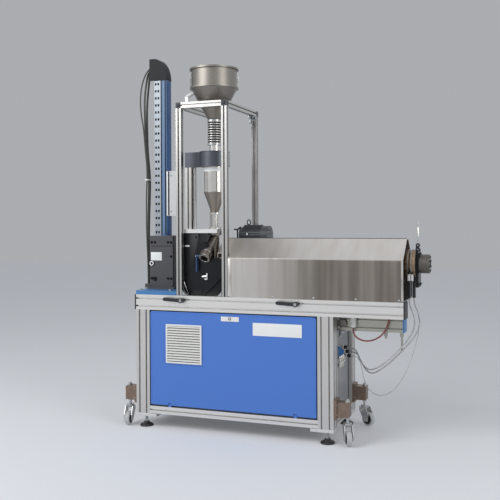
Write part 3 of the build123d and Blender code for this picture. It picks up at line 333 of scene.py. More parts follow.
piece("frame_screws", bracket_screws, zinc, "zinc")

# End caps
# Moulded black nylon lids close the sawn ends of the beams, each with two pairs of plugged screw holes.
# Nylon from a spark eroded mould is finely grained and half matt.
nylon = surface("black moulded nylon", {"IOR": 1.53}, "#26262A", "#151518", 0.0012, depth=0.0001,
                polish=(0.38, 0.52))
dress(nylon, "beam_end_caps")
cap_low, cap_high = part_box("beam_end_caps")
slot_rows = (0.020, 0.060)
plugs = bmesh.new()
for rise in slot_rows:
    for depth in slot_rows:
        for cap_y in (cap_low.y, cap_high.y - leg_size):
            lathe(plugs, (cap_low.x, cap_y + depth, cap_low.z + rise), left, (
                (0, 0), (0, 0.006), (0.0012, 0.005), (0.0012, 0)), 12)
piece("end_cap_plugs", plugs, nylon, "black_plastic")

# Levelling feet
# A zinc plated spindle stands in a ribbed nylon dish and screws up into a plate under the leg. A lock nut
# holds the height. The plate reaches in past the leg, with two cap screws on its free end.
plate_bottom = 0.060
plate_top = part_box("levelling_feet")[1].z
plate_reach = 0.038
plate_screw_x = 0.059
plate_screw_y = 0.022
dish_ribs = 12
spindle_threads = 20
thread_pitch = 0.002
foot_spots = [(foot_x, foot_y, inward)
              for foot_x, inward in ((legs_low.x + leg_size / 2, 1), (legs_high.x - leg_size / 2, -1))
              for foot_y in (legs_low.y + leg_size / 2, legs_high.y - leg_size / 2)]
dishes = bmesh.new()
spindles = bmesh.new()
plates = bmesh.new()
for foot_x, foot_y, inward in foot_spots:
    lathe(dishes, (foot_x, foot_y, 0), up, (
        (0, 0), (0, 0.036), (0.005, 0.036), (0.008, 0.034), (0.016, 0.019), (0.023, 0.0135), (0.026, 0.012),
        (0.026, 0)), 32)
    for index in range(dish_ribs):
        spin = Matrix.Rotation(2 * math.pi * index / dish_ribs, 4, "Z")
        box(dishes, (0.012, -0.0011, 0.006), (0.0335, 0.0011, 0.011), 0,
            Matrix.Translation((foot_x, foot_y, 0)) @ spin)
    lathe(spindles, (foot_x, foot_y, 0.022), up, (
        (0, 0), (0, 0.0095), (0.012, 0.0095), (0.012, 0.007), (0.029, 0.007), (0.029, 0.0138),
        (0.0375, 0.0138)), 6)
    lathe(spindles, (foot_x, foot_y, 0.030), up, [
        (thread_pitch / 2 * index, (0.0064, 0.0072)[index % 2]) for index in range(spindle_threads + 1)], 16)
    plate_ends = sorted((foot_x - inward * leg_size / 2, foot_x + inward * (leg_size / 2 + plate_reach)))
    box(plates, (plate_ends[0], foot_y - leg_size / 2, plate_bottom),
        (plate_ends[1], foot_y + leg_size / 2, plate_top), 0.0012)
    for beside in (-plate_screw_y, plate_screw_y):
        cap_screw(spindles, (foot_x + inward * plate_screw_x, foot_y + beside, plate_top), up, 0.006)
piece("foot_dishes", dishes, nylon, "black_plastic", instead_of="levelling_feet")
piece("foot_spindles", spindles, zinc, "zinc", instead_of="levelling_feet")
piece("foot_plates", plates, extruded_x, "profile", instead_of="levelling_feet")

# Casters
# Each swivel caster hangs by a zinc plated stem, nut and lock nut in a brownish block of hot rolled steel
# bolted to the leg. The fork is pressed from zinc plated steel, the wheel is a nylon core with a pale
# thermoplastic rubber tread moulded on.
mill_steel = surface("hot rolled steel", {"Metallic": 0.85}, "#9A8778", "#6F5F54", 0.012, depth=0.0002,
                     polish=(0.35, 0.55))
dress(mill_steel, "caster_blocks")
tread = surface("pale thermoplastic rubber", {"IOR": 1.5}, "#C9CACB", "#A9ABAD", 0.004, depth=0.0002,
                polish=(0.45, 0.65))
core_nylon = surface("dark grey nylon", {"IOR": 1.53}, "#3A3C40", "#2A2B2F", 0.0012, depth=0.0001,
                     polish=(0.4, 0.5))
joints = {joint["name"]: joint for joint in frame["joints"]}
block_plate = 0.014
block_screw_y = 0.034
block_screw_heights = (0.150, 0.198)
block_screws = bmesh.new()
for foot_x, foot_y, inward in foot_spots:
    plate_x = foot_x - inward * (leg_size / 2 + block_plate)
    for height in block_screw_heights:
        for beside in (-block_screw_y, block_screw_y):
            cap_screw(block_screws, (plate_x, foot_y + beside, height), (-inward, 0, 0), 0.0026)
piece("caster_block_screws", block_screws, zinc, "zinc")
head_bottom = 0.1018
stem_nuts = ((0.1296, 0.1382), (0.2098, 0.2190))
stem_end = 0.2185
nut_radius = 0.0128
rim_half = 0.013
rim_bolts = 6
tread_edge = ((0.0128, 0.0270), (0.0128, 0.0315), (0.0110, 0.0342), (0.0060, 0.0358))
tread_profile = ([(-across, radius) for across, radius in tread_edge] + [(0, 0.036)]
                 + [(across, radius) for across, radius in reversed(tread_edge)])
stems = bmesh.new()
for side in ("front_left", "front_right", "back_left", "back_right"):
    name = "caster_" + side
    dress(zinc, name + "_fork")
    wheel_low, wheel_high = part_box(name + "_wheel")
    hub = (wheel_low + wheel_high) / 2
    axle = Vector(joints[name + "_roll"]["axis"]).normalized()
    tyre = bmesh.new()
    lathe(tyre, hub, axle, tread_profile, 48)
    piece(name + "_tyre", tyre, tread, "tread", name + "_wheel", instead_of=name + "_wheel")
    rim = bmesh.new()
    fork_bolts = bmesh.new()
    for way in (-1, 1):
        lathe(rim, hub, axle * way, (
            (0, 0.0272), (rim_half, 0.0272), (rim_half, 0.0245), (0.008, 0.0225), (0.008, 0.0125),
            (0.0172, 0.0108), (0.0172, 0.0045), (0, 0.0045)), 40)
        across = axle.orthogonal().normalized() * 0.0175
        for index in range(rim_bolts):
            spin = Matrix.Rotation(2 * math.pi * index / rim_bolts, 3, axle)
            lathe(rim, hub + spin @ across, axle * way, ((0.008, 0.0022), (0.0115, 0.0018), (0.0115, 0)), 10)
        lathe(fork_bolts, hub + axle * way * 0.0215, axle * way, (
            (0, 0.0075), (0.004, 0.0075), (0.005, 0.0065), (0.005, 0)), 6)
    piece(name + "_core", rim, core_nylon, "tread", name + "_wheel", instead_of=name + "_wheel")
    fork_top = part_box(name + "_fork")[1].z
    stem_x, stem_y, _ = joints[name + "_swivel"]["pos_m"]
    lathe(fork_bolts, (stem_x, stem_y, fork_top - 0.0035), up, (
        (0, 0.0205), (0.0012, 0.0225), (0.0024, 0.0225), (0.0034, 0.0205)), 32)
    piece(name + "_bolts", fork_bolts, zinc, "zinc", name + "_swivel")
    lathe(stems, (stem_x, stem_y, head_bottom), up, (
        (0, 0.0120), (0, 0.0204), (0.0078, 0.0206), (0.0090, 0.0190), (0.0094, 0.0075), (0.0280, 0.0075),
        (0.0280, 0.0055)), 28)
    for nut_bottom, nut_top in stem_nuts:
        lathe(stems, (stem_x, stem_y, nut_bottom), up, (
            (0, 0.0060), (0, nut_radius), (nut_top - nut_bottom, nut_radius),
            (nut_top - nut_bottom, 0.0060)), 6)
    lathe(stems, (stem_x, stem_y, stem_end), up, (
        (0, 0.0066), (0.0080, 0.0066), (0.0088, 0.0055), (0.0088, 0)), 20)
piece("caster_stems", stems, zinc, "zinc")

# Cabinet
# Folded sheet steel panels, sprayed with light grey epoxy, stand in the slots of the frame. A black strip
# lines the opening of the door at its sides and top: painted shade in the gap round the door.
grey_epoxy = surface("light grey epoxy powder coat", {"IOR": 1.5}, "#8E9093", "#808285", 0.0016,
                     depth=0.00012, polish=(0.36, 0.46))
dress(grey_epoxy, "cabinet_panels")
# A black used as painted shade: in the gap round the door, behind the rail's holes, in the stand's slots and
# in the bellows' valleys.
rubber = surface("black for painted shade", {"IOR": 1.52}, "#1B1B1C", "#0E0E0F", 0.003, depth=0.0001,
                 polish=(0.55, 0.7))
door_low, door_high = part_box("door")
opening_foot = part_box("bottom_rails")[1].z
opening_left = legs_low.x + leg_size
opening_right = legs_high.x - leg_size
gap_shade_wide = 0.0032


def strips(shape, near, far, rounding, spans):
    """Flat strips between two depths, each given by its low X, high X, low Z and high Z."""
    for low_x, high_x, low_z, high_z in spans:
        box(shape, (low_x, near, low_z), (high_x, far, high_z), rounding)


# A black strip in the gap round the door is painted shade.
gap_shade = bmesh.new()
strips(gap_shade, door_low.y + 0.001, door_low.y + 0.012, 0.0006, (
    (opening_left, opening_left + gap_shade_wide, opening_foot, beam_low.z),
    (opening_right - gap_shade_wide, opening_right, opening_foot, beam_low.z),
    (opening_left, opening_right, beam_low.z - gap_shade_wide, beam_low.z)))
piece("door_gap_shade", gap_shade, rubber, "black_plastic")

# Door
# One sheet of steel folded to a tray and powder coated blue, with an orange peel texture about 1.5 mm
# across. The fold stands a little proud at the sides and the top. The door carries a lock plate of white
# ABS with a black barrel, and a bare white enamel sign plate.
blue_coat = surface("blue powder coat", {"IOR": 1.5, "Coat Weight": 0.15, "Coat Roughness": 0.25}, "#4A7CD0",
                    "#4474C6", 0.0016, depth=0.00015, polish=(0.34, 0.46))
dress(blue_coat, "door", "door_hinge_lugs")
white_abs = surface("white moulded ABS", {"IOR": 1.53}, "#F1F1EE", "#E2E2DF", 0.0015, depth=0.00008,
                    polish=(0.32, 0.44))
dress(white_abs, "door_lock")
enamel = surface("white enamelled plate", {"IOR": 1.5, "Coat Weight": 0.3}, "#F4F5F4", "#EBECEB", 0.03,
                 polish=(0.2, 0.3))


def turned(name, start, along, profile, material, slot, sides=20, **rest):
    """A piece that is one turned shape."""
    shape = bmesh.new()
    lathe(shape, start, along, profile, sides)
    piece(name, shape, material, slot, **rest)


def plate(name, low, high, rounding, material, slot, **rest):
    """A piece that is one plate or strip with rounded edges."""
    shape = bmesh.new()
    box(shape, low, high, rounding)
    piece(name, shape, material, slot, **rest)


fold_wide = 0.007
fold_proud = 0.0014
fold_foot = door_low.z + 0.020
folds = bmesh.new()
strips(folds, door_low.y - fold_proud, door_low.y + 0.001, 0.0013, (
    (door_low.x, door_low.x + fold_wide, fold_foot, door_high.z),
    (door_high.x - fold_wide, door_high.x, fold_foot, door_high.z),
    (door_low.x, door_high.x, door_high.z - fold_wide, door_high.z)))
piece("door_folds", folds, blue_coat, "blue_paint", "door")
lock_low, lock_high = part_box("door_lock")
turned("lock_barrel", ((lock_low.x + lock_high.x) / 2, lock_low.y, lock_high.z - 0.012), front, (
    (0, 0.0075), (0.0012, 0.0068), (0.0012, 0.0045), (-0.001, 0.004), (-0.001, 0)),
    nylon, "black_plastic", 24, body="door")
sign_left = place(0.666, 0, 0).x
sign_right = place(0.924, 0, 0).x
sign_bottom = 0.517
sign_top = 0.582
plate("door_sign_plate", (sign_left, door_low.y - 0.0016, sign_bottom), (sign_right, door_low.y, sign_top),
      0.0006, enamel, "white_plastic", body="door")

# Filter fan
# The grille over the fan is one moulding of white ABS with fourteen slanting slats in a narrow rim. A mat of
# beige filter fleece shows between the slats.
fleece = surface("beige filter fleece", {"Sheen Weight": 0.3}, "#8F897A", "#55514A", 0.002, depth=0.0004,
                 polish=(0.8, 0.95))
fan_low, fan_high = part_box("filter_fan")
fan_rim = 0.008
slat_count = 14
slat_pitch = (fan_high.z - fan_low.z - 2 * fan_rim) / slat_count
slat_face = 0.0088
slat_front = fan_low.y + 0.001
slat_ends = (fan_low.x + fan_rim * 0.9, fan_high.x - fan_rim * 0.9)
slat_profile = ((door_low.y, 0.0040), (slat_front, 0), (slat_front, slat_face * 0.4), (door_low.y, slat_face))
inner_left = fan_low.x + fan_rim
inner_right = fan_high.x - fan_rim
grille = bmesh.new()
strips(grille, fan_low.y, door_low.y, 0.0012, (
    (fan_low.x, inner_left, fan_low.z, fan_high.z), (inner_right, fan_high.x, fan_low.z, fan_high.z),
    (inner_left, inner_right, fan_low.z, fan_low.z + fan_rim),
    (inner_left, inner_right, fan_high.z - fan_rim, fan_high.z)))
for index in range(slat_count):
    slat_z = fan_low.z + fan_rim + (index + 0.35) * slat_pitch
    ends = [[grille.verts.new((x, y, slat_z + z)) for y, z in slat_profile] for x in slat_ends]
    grille.faces.new(ends[0])
    grille.faces.new(ends[1])
    for near in range(4):
        after = (near + 1) % 4
        grille.faces.new((ends[0][near], ends[1][near], ends[1][after], ends[0][after]))
piece("fan_grille", grille, white_abs, "white_plastic", "door", instead_of="filter_fan")
mat_inset = fan_rim * 0.5
plate("fan_fleece", (fan_low.x + mat_inset, door_low.y - 0.0008, fan_low.z + mat_inset),
      (fan_high.x - mat_inset, door_low.y, fan_high.z - mat_inset), 0, fleece, "fold_rubber", body="door",
      instead_of="filter_fan")

# Low beam
# A short beam of the same profile carries the barrel end; its anodising is painted darker as shade, since it
# stands back under the tray. Its end is closed by a light blue coated cap, and two nipples hang from it.
light_blue = surface("light blue powder coat", {"IOR": 1.5}, "#4C82B8", "#4075AA", 0.0016, depth=0.00015,
                     polish=(0.34, 0.46))
dress(light_blue, "low_beam_cap")
# The low beam's darker anodising is painted shade.
dress(anodised("x of the low beam painted as shade", (90, 1, 1), "#BDBBB1", "#A19F95"), "low_beam")

# Water manifold
# An aluminium block on the side panel shares out the cooling water. Its nipples are bright nickel plated
# brass, and blue polyurethane elbows lead up into the cabinet.
nickel = surface("nickel plated brass", bare_metal, "#E0DDD6", "#B5B1A9", 0.004, depth=0.0001,
                 polish=(0.14, 0.28))
blue_tube = surface("blue polyurethane tube", {
    "IOR": 1.5, "Subsurface Weight": 0.2, "Subsurface Scale": 0.003}, "#2F7FC4", "#1D62A6", 0.01,
    polish=(0.25, 0.4))
manifold_low, manifold_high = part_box("water_manifold")
manifold_x = (manifold_low.x + manifold_high.x) / 2
manifold_bottom = 0.372
manifold_top = 0.398
outlet_count = 3
outlet_pitch = (manifold_high.y - manifold_low.y) / outlet_count
manifold_screw_pitch = 0.033
manifold_screw_z = (manifold_bottom + manifold_top) / 2
elbow_radius = 0.0045
nipples = bmesh.new()
elbows = bmesh.new()
for index in range(outlet_count):
    outlet_y = manifold_low.y + (index + 0.5) * outlet_pitch
    rise = 0.054 - index * 0.012
    lathe(nipples, (manifold_x, outlet_y, manifold_bottom), down, (
        (0, 0.0075), (0.008, 0.0075), (0.008, 0.005), (0.012, 0.006), (0.016, 0.005), (0.020, 0.006),
        (0.024, 0.0045), (0.024, 0)), 12)
    lathe(nipples, (manifold_x, outlet_y, manifold_top), up, (
        (0, 0.0078), (0.007, 0.0078), (0.010, 0.0060), (0.010, 0)), 12)
    lathe(elbows, (manifold_x, outlet_y, manifold_top), up, ((0, elbow_radius), (rise, elbow_radius)), 14)
    lathe(elbows, (manifold_x, outlet_y, manifold_top + rise), left, (
        (-elbow_radius, 0), (-0.0032, 0.0032), (0, elbow_radius),
        (manifold_x - manifold_low.x, elbow_radius)), 14)
    screw_y = manifold_low.y + (index + 0.5) * manifold_screw_pitch
    cap_screw(nipples, (manifold_high.x, screw_y, manifold_screw_z), right, 0.004)
plate("manifold_block", (manifold_low.x, manifold_low.y, manifold_bottom),
      (manifold_high.x, manifold_high.y, manifold_top), 0.0012, extruded_x, "steel",
      instead_of="water_manifold")
piece("manifold_nipples", nipples, nickel, "steel", instead_of="water_manifold")
piece("manifold_elbows", elbows, blue_tube, "blue_paint", instead_of="water_manifold")

# Table and base plate
# A ground steel base plate, coated light blue, lies on the beams under the lift unit, held by four cap
# screws. A plain steel plate closes the table behind it.
dress(light_blue, "base_plate")
plain_steel = surface("ground steel", bare_metal, "#B4B2AE", "#908E8B", 0.004, stretch=(12, 1, 1),
                      depth=0.00006, polish=(0.28, 0.42))
dress(plain_steel, "table_plate")
base_low, base_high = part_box("base_plate")
base_screws = bmesh.new()
for screw_x in (base_low.x + 0.014, base_high.x - 0.050):
    for screw_y in (base_low.y + 0.030, base_high.y - 0.030):
        cap_screw(base_screws, (screw_x, screw_y, base_high.z), up, 0.007)
piece("base_plate_screws", base_screws, zinc, "zinc")

# Drive unit
# A cast housing in dark grey enamel holds the lift motor. Sand casting leaves it pebbled over 3 mm under the
# paint. Cap screws close it, and it has a bare type plate, a round oil sight glass and a turned boss.
grey_cast = surface("dark grey enamel on cast iron", {"IOR": 1.5}, "#57565A", "#3B3A3D", 0.003, depth=0.0006,
                    polish=(0.34, 0.5))
dress(grey_cast, "drive_unit")
black_oxide = surface("black oxide steel", {"Metallic": 0.7}, "#2A2B2F", "#111215", 0.003,
                      polish=(0.28, 0.42))
drive_front = 0.100
flange_top = 0.744
drive_screws = bmesh.new()
for screw_x, screw_z in ((0.042, 0.983), (0.062, 0.983), (0.141, 0.983), (0.160, 0.983), (0.042, 0.787),
                         (0.141, 0.787), (0.160, 0.787), (0.160, 0.906)):
    cap_screw(drive_screws, place(screw_x, drive_front, screw_z), front, 0.0048)
for screw_x in (0.034, 0.167):
    for screw_y in (0.096, 0.294):
        cap_screw(drive_screws, place(screw_x, screw_y, flange_top), up, 0.0030)
piece("drive_screws", drive_screws, black_oxide, "black_cast")
plate("drive_type_plate", place(0.038, drive_front - 0.0014, 0.884), place(0.104, drive_front, 0.929), 0.0005,
      enamel, "white_plastic")
sight_glass = place(0.0448, 0.095, 0.8683)
turned("drive_sight_glass", sight_glass, front, (
    (0, 0.0125), (0.0020, 0.0125), (0.0030, 0.0115), (0.0030, 0.0070), (0.0008, 0.0066)),
    enamel, "white_plastic", 28)
turned("drive_sight_disc", sight_glass, front, ((0, 0.0068), (0.0010, 0.0066), (0.0010, 0)),
       black_oxide, "black_cast", 28)
turned("drive_boss_cap", place(0.0616, 0.096, 0.7848), front, (
    (0, 0.0120), (0.0012, 0.0108), (0.0012, 0.0060), (0.0030, 0.0050), (0.0030, 0)),
    black_oxide, "black_cast", 24)

# Lift column
# A square steel tube, powder coated a muted blue, stands on the drive unit. A thin deeper blue plate on its
# right side is painted shade, and two black guide strips run up its front.
mast_coat = surface("muted blue powder coat", {"IOR": 1.5}, "#6886AC", "#5A799F", 0.0016, depth=0.0001,
                    polish=(0.4, 0.52))
dress(mast_coat, "lift_mast")
shaded_blue = surface("blue powder coat painted as shade", {"IOR": 1.5}, "#24609F", "#1C5290", 0.0016, depth=0.0001,
                    polish=(0.4, 0.52))
mast_low, mast_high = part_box("lift_mast")
guides = bmesh.new()
strips(guides, mast_low.y - 0.0025, mast_low.y, 0.0006, [
    (guide_x, guide_x + wide, mast_low.z + 0.004, mast_high.z - 0.002)
    for guide_x, wide in ((mast_low.x + 0.002, 0.005), (mast_high.x - 0.010, 0.006))])
piece("lift_guide_strips", guides, black_oxide, "black_cast")
# The deeper blue plate on the right side is painted shade.
plate("lift_side_shade", (mast_high.x, mast_low.y + 0.002, mast_low.z + 0.003),
      (mast_high.x + 0.0012, mast_high.y - 0.002, mast_high.z - 0.003), 0.0005, shaded_blue, "blue_paint")

# Slotted rail
# A channel of dull zinc plated strip stands left of the column, punched with two columns of square holes. A
# black strip behind them is painted shade that darkens the holes.
rail_zinc = surface("dull zinc plated strip", {"Metallic": 0.8}, "#A4A9AF", "#858B92", 0.005, depth=0.0001,
                    polish=(0.4, 0.55))
rail_low, rail_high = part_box("perforated_rail")
rail_rows = 22
rail_columns = (0.009, 0.025)
rail_hole = 0.0105
rail_sheet = 0.0025
rail_run = rail_high.z - rail_low.z
row_pitch = rail_run / rail_rows
bridge_half = (row_pitch - rail_hole * 1.25) / 2
hole_sides = [rail_low.x + middle + way * rail_hole / 2 for middle in rail_columns for way in (-1, 1)]
edges = [rail_low.x] + hole_sides + [rail_high.x]
rail = bmesh.new()
strips(rail, rail_low.y, rail_low.y + rail_sheet, 0, [
    (edges[column], edges[column + 1], rail_low.z, rail_high.z) for column in (0, 2, 4)])
strips(rail, rail_low.y, rail_low.y + rail_sheet, 0, [
    (edges[column], edges[column + 1], rail_low.z + max(0.0, row * row_pitch - bridge_half),
     rail_low.z + min(rail_run, row * row_pitch + bridge_half))
    for column in (1, 3) for row in range(rail_rows + 1)])
strips(rail, rail_low.y + rail_sheet, rail_high.y, 0, [
    (flange_x, flange_x + rail_sheet, rail_low.z, rail_high.z)
    for flange_x in (rail_low.x, rail_high.x - rail_sheet)])
piece("slotted_rail", rail, rail_zinc, "zinc", instead_of="perforated_rail")
# The black strip behind the holes is painted shade.
plate("rail_hole_shade", (rail_low.x + rail_sheet, rail_low.y + 0.008, rail_low.z),
      (rail_high.x - rail_sheet, rail_low.y + 0.010, rail_high.z), 0, rubber, "black_plastic",
      instead_of="perforated_rail")

# Carriage
# A steel box in pale grey enamel runs on the column, held by four zinc plated cap screws. A white strip runs
# down its left edge, and beside it a black strip is the painted shade of a groove.
carriage_paint = surface("pale grey enamel", {"IOR": 1.5}, "#D3D4D5", "#C6C7C8", 0.0016, depth=0.0001,
                         polish=(0.32, 0.44))
dress(carriage_paint, "carriage")
carriage_low, carriage_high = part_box("carriage")
trim_bottom = carriage_low.z + 0.003
trim_top = carriage_high.z - 0.003
plate("carriage_trim", (carriage_low.x + 0.001, carriage_low.y - 0.002, trim_bottom),
      (carriage_low.x + 0.008, carriage_low.y, trim_top), 0.0006, enamel, "white_plastic")
# The black strip is the painted shade of a groove.
plate("carriage_groove_shade", (carriage_low.x + 0.0095, carriage_low.y - 0.001, trim_bottom),
      (carriage_low.x + 0.0135, carriage_low.y + 0.001, trim_top), 0.0004, black_oxide, "black_cast")
carriage_screws = bmesh.new()
for share in (0.10, 0.90):
    for across in (0.026, 0.060):
        screw_z = carriage_low.z + share * (carriage_high.z - carriage_low.z)
        cap_screw(carriage_screws, (carriage_low.x + across, carriage_low.y, screw_z), front, 0.0035)
piece("carriage_screws", carriage_screws, zinc, "zinc")

# Cable hood
# A folded steel hood with a rounded back turns the lift cables down beside the column. It is sprayed with a
# matt enamel that is nearly black.
hood_enamel = surface("black spray enamel", {"IOR": 1.5, "Specular IOR Level": 0.3}, "#14161A", "#101216",
                      0.0016, depth=0.00012, polish=(0.5, 0.62))
dress(hood_enamel, "cable_hood")

# Hopper stand
# Slim slotted profiles stand on the table, joined at the top by die cast corner cubes with dark caps. Black
# strips in the front slots are painted shade. The back top bar isn't there, so it is cut away.
cube_cast = surface("dark grey die cast zinc", {"Metallic": 0.4, "IOR": 1.5}, "#4A4C50", "#2E3034", 0.002,
                    depth=0.0002, polish=(0.34, 0.5))
dress(cube_cast, "stand_corner_cubes")
extruded_stand = anodised("z of the stand", (1, 1, 90), "#C2C0BD", "#A8A6A3")
dress(extruded_stand, "bracket_column")
packed_stand = frame["nodes"]["stand_frame"]
slack = 0.001
bars = bmesh.new()
bars.from_mesh(packed_stand.data)
bars.transform(packed_stand.matrix_world)
back_bar = {vert for vert in bars.verts if vert.co.y > stand_high.y - post_size - slack
            and vert.co.z > stand_high.z - post_size - slack
            and posts_x[0] + post_size - slack < vert.co.x < posts_x[1] + slack}
back_bar = [vert for vert in bars.verts if vert in back_bar
            and all(edge.other_vert(vert) in back_bar for edge in vert.link_edges)]
bmesh.ops.delete(bars, geom=back_bar, context="VERTS")
piece("stand_profiles", bars, extruded_stand, "profile", instead_of="stand_frame")
slot_half = 0.0039
# Black strips in the posts' front slots are painted shade.
slot_shade = bmesh.new()
strips(slot_shade, stand_low.y + 0.0012, stand_low.y + 0.0032, 0.0004, [
    (post_x + post_size / 2 - slot_half, post_x + post_size / 2 + slot_half, stand_low.z + slack,
     stand_high.z - post_size - slack) for post_x in posts_x])
piece("stand_slot_shade", slot_shade, rubber, "black_plastic")
cube_caps = bmesh.new()
for post_x in posts_x:
    for cube_y, outward in ((stand_low.y, front), (stand_high.y, -front)):
        lathe(cube_caps, (post_x + post_size / 2, cube_y, stand_high.z - post_size / 2), outward, (
            (-0.001, 0.0095), (0.0004, 0.0095), (0.0010, 0.0085), (0.0010, 0.0050), (-0.002, 0.0045),
            (-0.002, 0)), 20)
piece("stand_cube_caps", cube_caps, black_oxide, "black_plastic")

# Cable clips on the stand
# Small bright zinc clips are pushed into the slot of the back right post, and two screw heads show on the
# side bar.
clips = bmesh.new()
for clip_x, clip_z, half_wide, half_tall in ((0.490, 1.690, 0.008, 0.016), (0.497, 1.655, 0.007, 0.009),
                                             (0.505, 1.632, 0.008, 0.008)):
    clip = place(clip_x, 0.4435, clip_z)
    box(clips, clip + Vector((-half_wide, -0.006, -half_tall)), clip + Vector((half_wide, 0.0015, half_tall)),
        0.0015)
for screw_y in (0.190, 0.215):
    cap_screw(clips, (posts_x[1] + post_size / 2, corner.y + screw_y, stand_high.z), up, 0.0035)
piece("stand_clips", clips, zinc, "zinc")

# Hopper
# Spun and seam welded stainless steel, satin polished round its axis. Two toggle latches hold the cylinder to
# the cone, each a pressed zinc plated hook plate with a wire bail riveted on.
satin_steel = surface("satin polished stainless steel", bare_metal, "#98938C", "#7D7872", 0.0012,
                      stretch=(18, 18, 1), depth=0.00003, polish=(0.36, 0.48))
dress(satin_steel, "hopper")
hopper_low, hopper_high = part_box("hopper")
feed_axis = Vector(((hopper_low.x + hopper_high.x) / 2, (hopper_low.y + hopper_high.y) / 2, 0))
hopper_radius = 0.122
latch_bearings = (203, 23)
latch_boxes = ((-0.001, 0.003, -0.011, 0.011, 1.852, 1.892, 0.001),
               (0.002, 0.0085, -0.008, 0.008, 1.834, 1.878, 0.002),
               (0.003, 0.0055, -0.0075, -0.0055, 1.812, 1.852, 0.0006),
               (0.003, 0.0055, 0.0055, 0.0075, 1.812, 1.852, 0.0006),
               (0.002, 0.0075, -0.0085, 0.0085, 1.809, 1.814, 0.001))
latches = bmesh.new()
for bearing in latch_bearings:
    spin = Matrix.Translation(feed_axis) @ Matrix.Rotation(math.radians(bearing), 4, "Z")
    for inner, outer, low_side, high_side, low_z, high_z, rounding in latch_boxes:
        box(latches, (hopper_radius + inner, low_side, low_z), (hopper_radius + outer, high_side, high_z),
            rounding, spin)
piece("hopper_latches", latches, zinc, "polished")

# Level probe
# A capacitive level probe in a white plastic body looks up into the cone from below, in a bent steel strip
# from the stand's beam.
probe_start = place(0.246, 0.104, 1.7560)
probe_end = place(0.292, 0.112, 1.7830)
turned("level_probe", probe_start, probe_end - probe_start, (
    (0, 0), (0, 0.0070), (0.008, 0.0078), (0.010, 0.0105), (0.044, 0.0105), (0.046, 0.0080), (0.054, 0.0080),
    (0.054, 0)), white_abs, "white_plastic")
strip_low = place(0.252, 0.0935, 1.7175)
probe_strip = bmesh.new()
box(probe_strip, strip_low, strip_low + Vector((0.016, 0.003, 0.042)), 0.0006)
box(probe_strip, strip_low, strip_low + Vector((0.003, 0.026, 0.008)), 0.0006)
piece("probe_strip", probe_strip, zinc, "zinc")

# Bellows
# A bellows takes up the shake of the hopper: polished steel rings, one in each fold, over a black sleeve that
# is painted shade in the valleys between them, with a clamp at each end.
bellows_low, bellows_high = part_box("bellows")
fold_count = 10
fold_pitch = (bellows_high.z - bellows_low.z) / fold_count
crest = 0.0034
crest_middle = (bellows_high.x - bellows_low.x) / 2 - crest
valley_shade_radius = crest_middle - crest
crest_steel = surface("polished bellows steel", bare_metal, "#E6E4E0", "#D0CDC8", 0.0012, stretch=(18, 18, 1),
                      polish=(0.16, 0.26))


def feed_ring(shape, height, profile, sides=56):
    """Turn a profile about the feed axis, from a height up."""
    lathe(shape, feed_axis + Vector((0, 0, height)), up, profile, sides)


ring = [(math.sin(math.radians(step)) * crest, crest_middle + math.cos(math.radians(step)) * crest)
        for step in range(-150, 151, 30)]
rings = bmesh.new()
for index in range(fold_count):
    feed_ring(rings, bellows_low.z + (index + 0.5) * fold_pitch, ring)
piece("bellows_folds", rings, crest_steel, "polished", sharp=60, instead_of="bellows")
# The black sleeve between the rings is painted shade in the valleys.
valley_shade = bmesh.new()
feed_ring(valley_shade, bellows_low.z, (
    (0, valley_shade_radius - 0.004), (0, valley_shade_radius), (fold_count * fold_pitch, valley_shade_radius),
    (fold_count * fold_pitch, valley_shade_radius - 0.004)))
piece("bellows_valley_shade", valley_shade, rubber, "fold_rubber", sharp=60, instead_of="bellows")
clamps = bmesh.new()
for clamp_z in (bellows_low.z - 0.003, bellows_high.z - 0.009):
    feed_ring(clamps, clamp_z, (
        (0, 0.030), (0, 0.0385), (0.001, 0.0395), (0.011, 0.0395), (0.012, 0.0385), (0.012, 0.030)), 48)
piece("bellows_clamps", clamps, zinc, "polished")

# Magnet band
# A broad band of dark hard anodised aluminium holds the magnets round the feed tube. It is rolled, hemmed
# along both edges, and runs out in a flat lug in front of the bracket column.
hard_anodised = surface("dark hard anodised aluminium", {"Metallic": 0.75}, "#62656C", "#4A4D54", 0.0015,
                        stretch=(20, 20, 1), depth=0.00003, polish=(0.34, 0.46))
dress(hard_anodised, "magnet_band")
band_low, band_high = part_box("magnet_band")
band_radius = 0.080
hem_inner = band_radius - 0.002
hem_side = band_radius + 0.0012
hem_outer = band_radius + 0.0018
hems = bmesh.new()
for hem_z in (band_low.z, band_high.z - 0.005):
    feed_ring(hems, hem_z, (
        (0, hem_inner), (0, hem_side), (0.001, hem_outer), (0.004, hem_outer), (0.005, hem_side),
        (0.005, hem_inner)), 64)
piece("band_hems", hems, hard_anodised, "column")

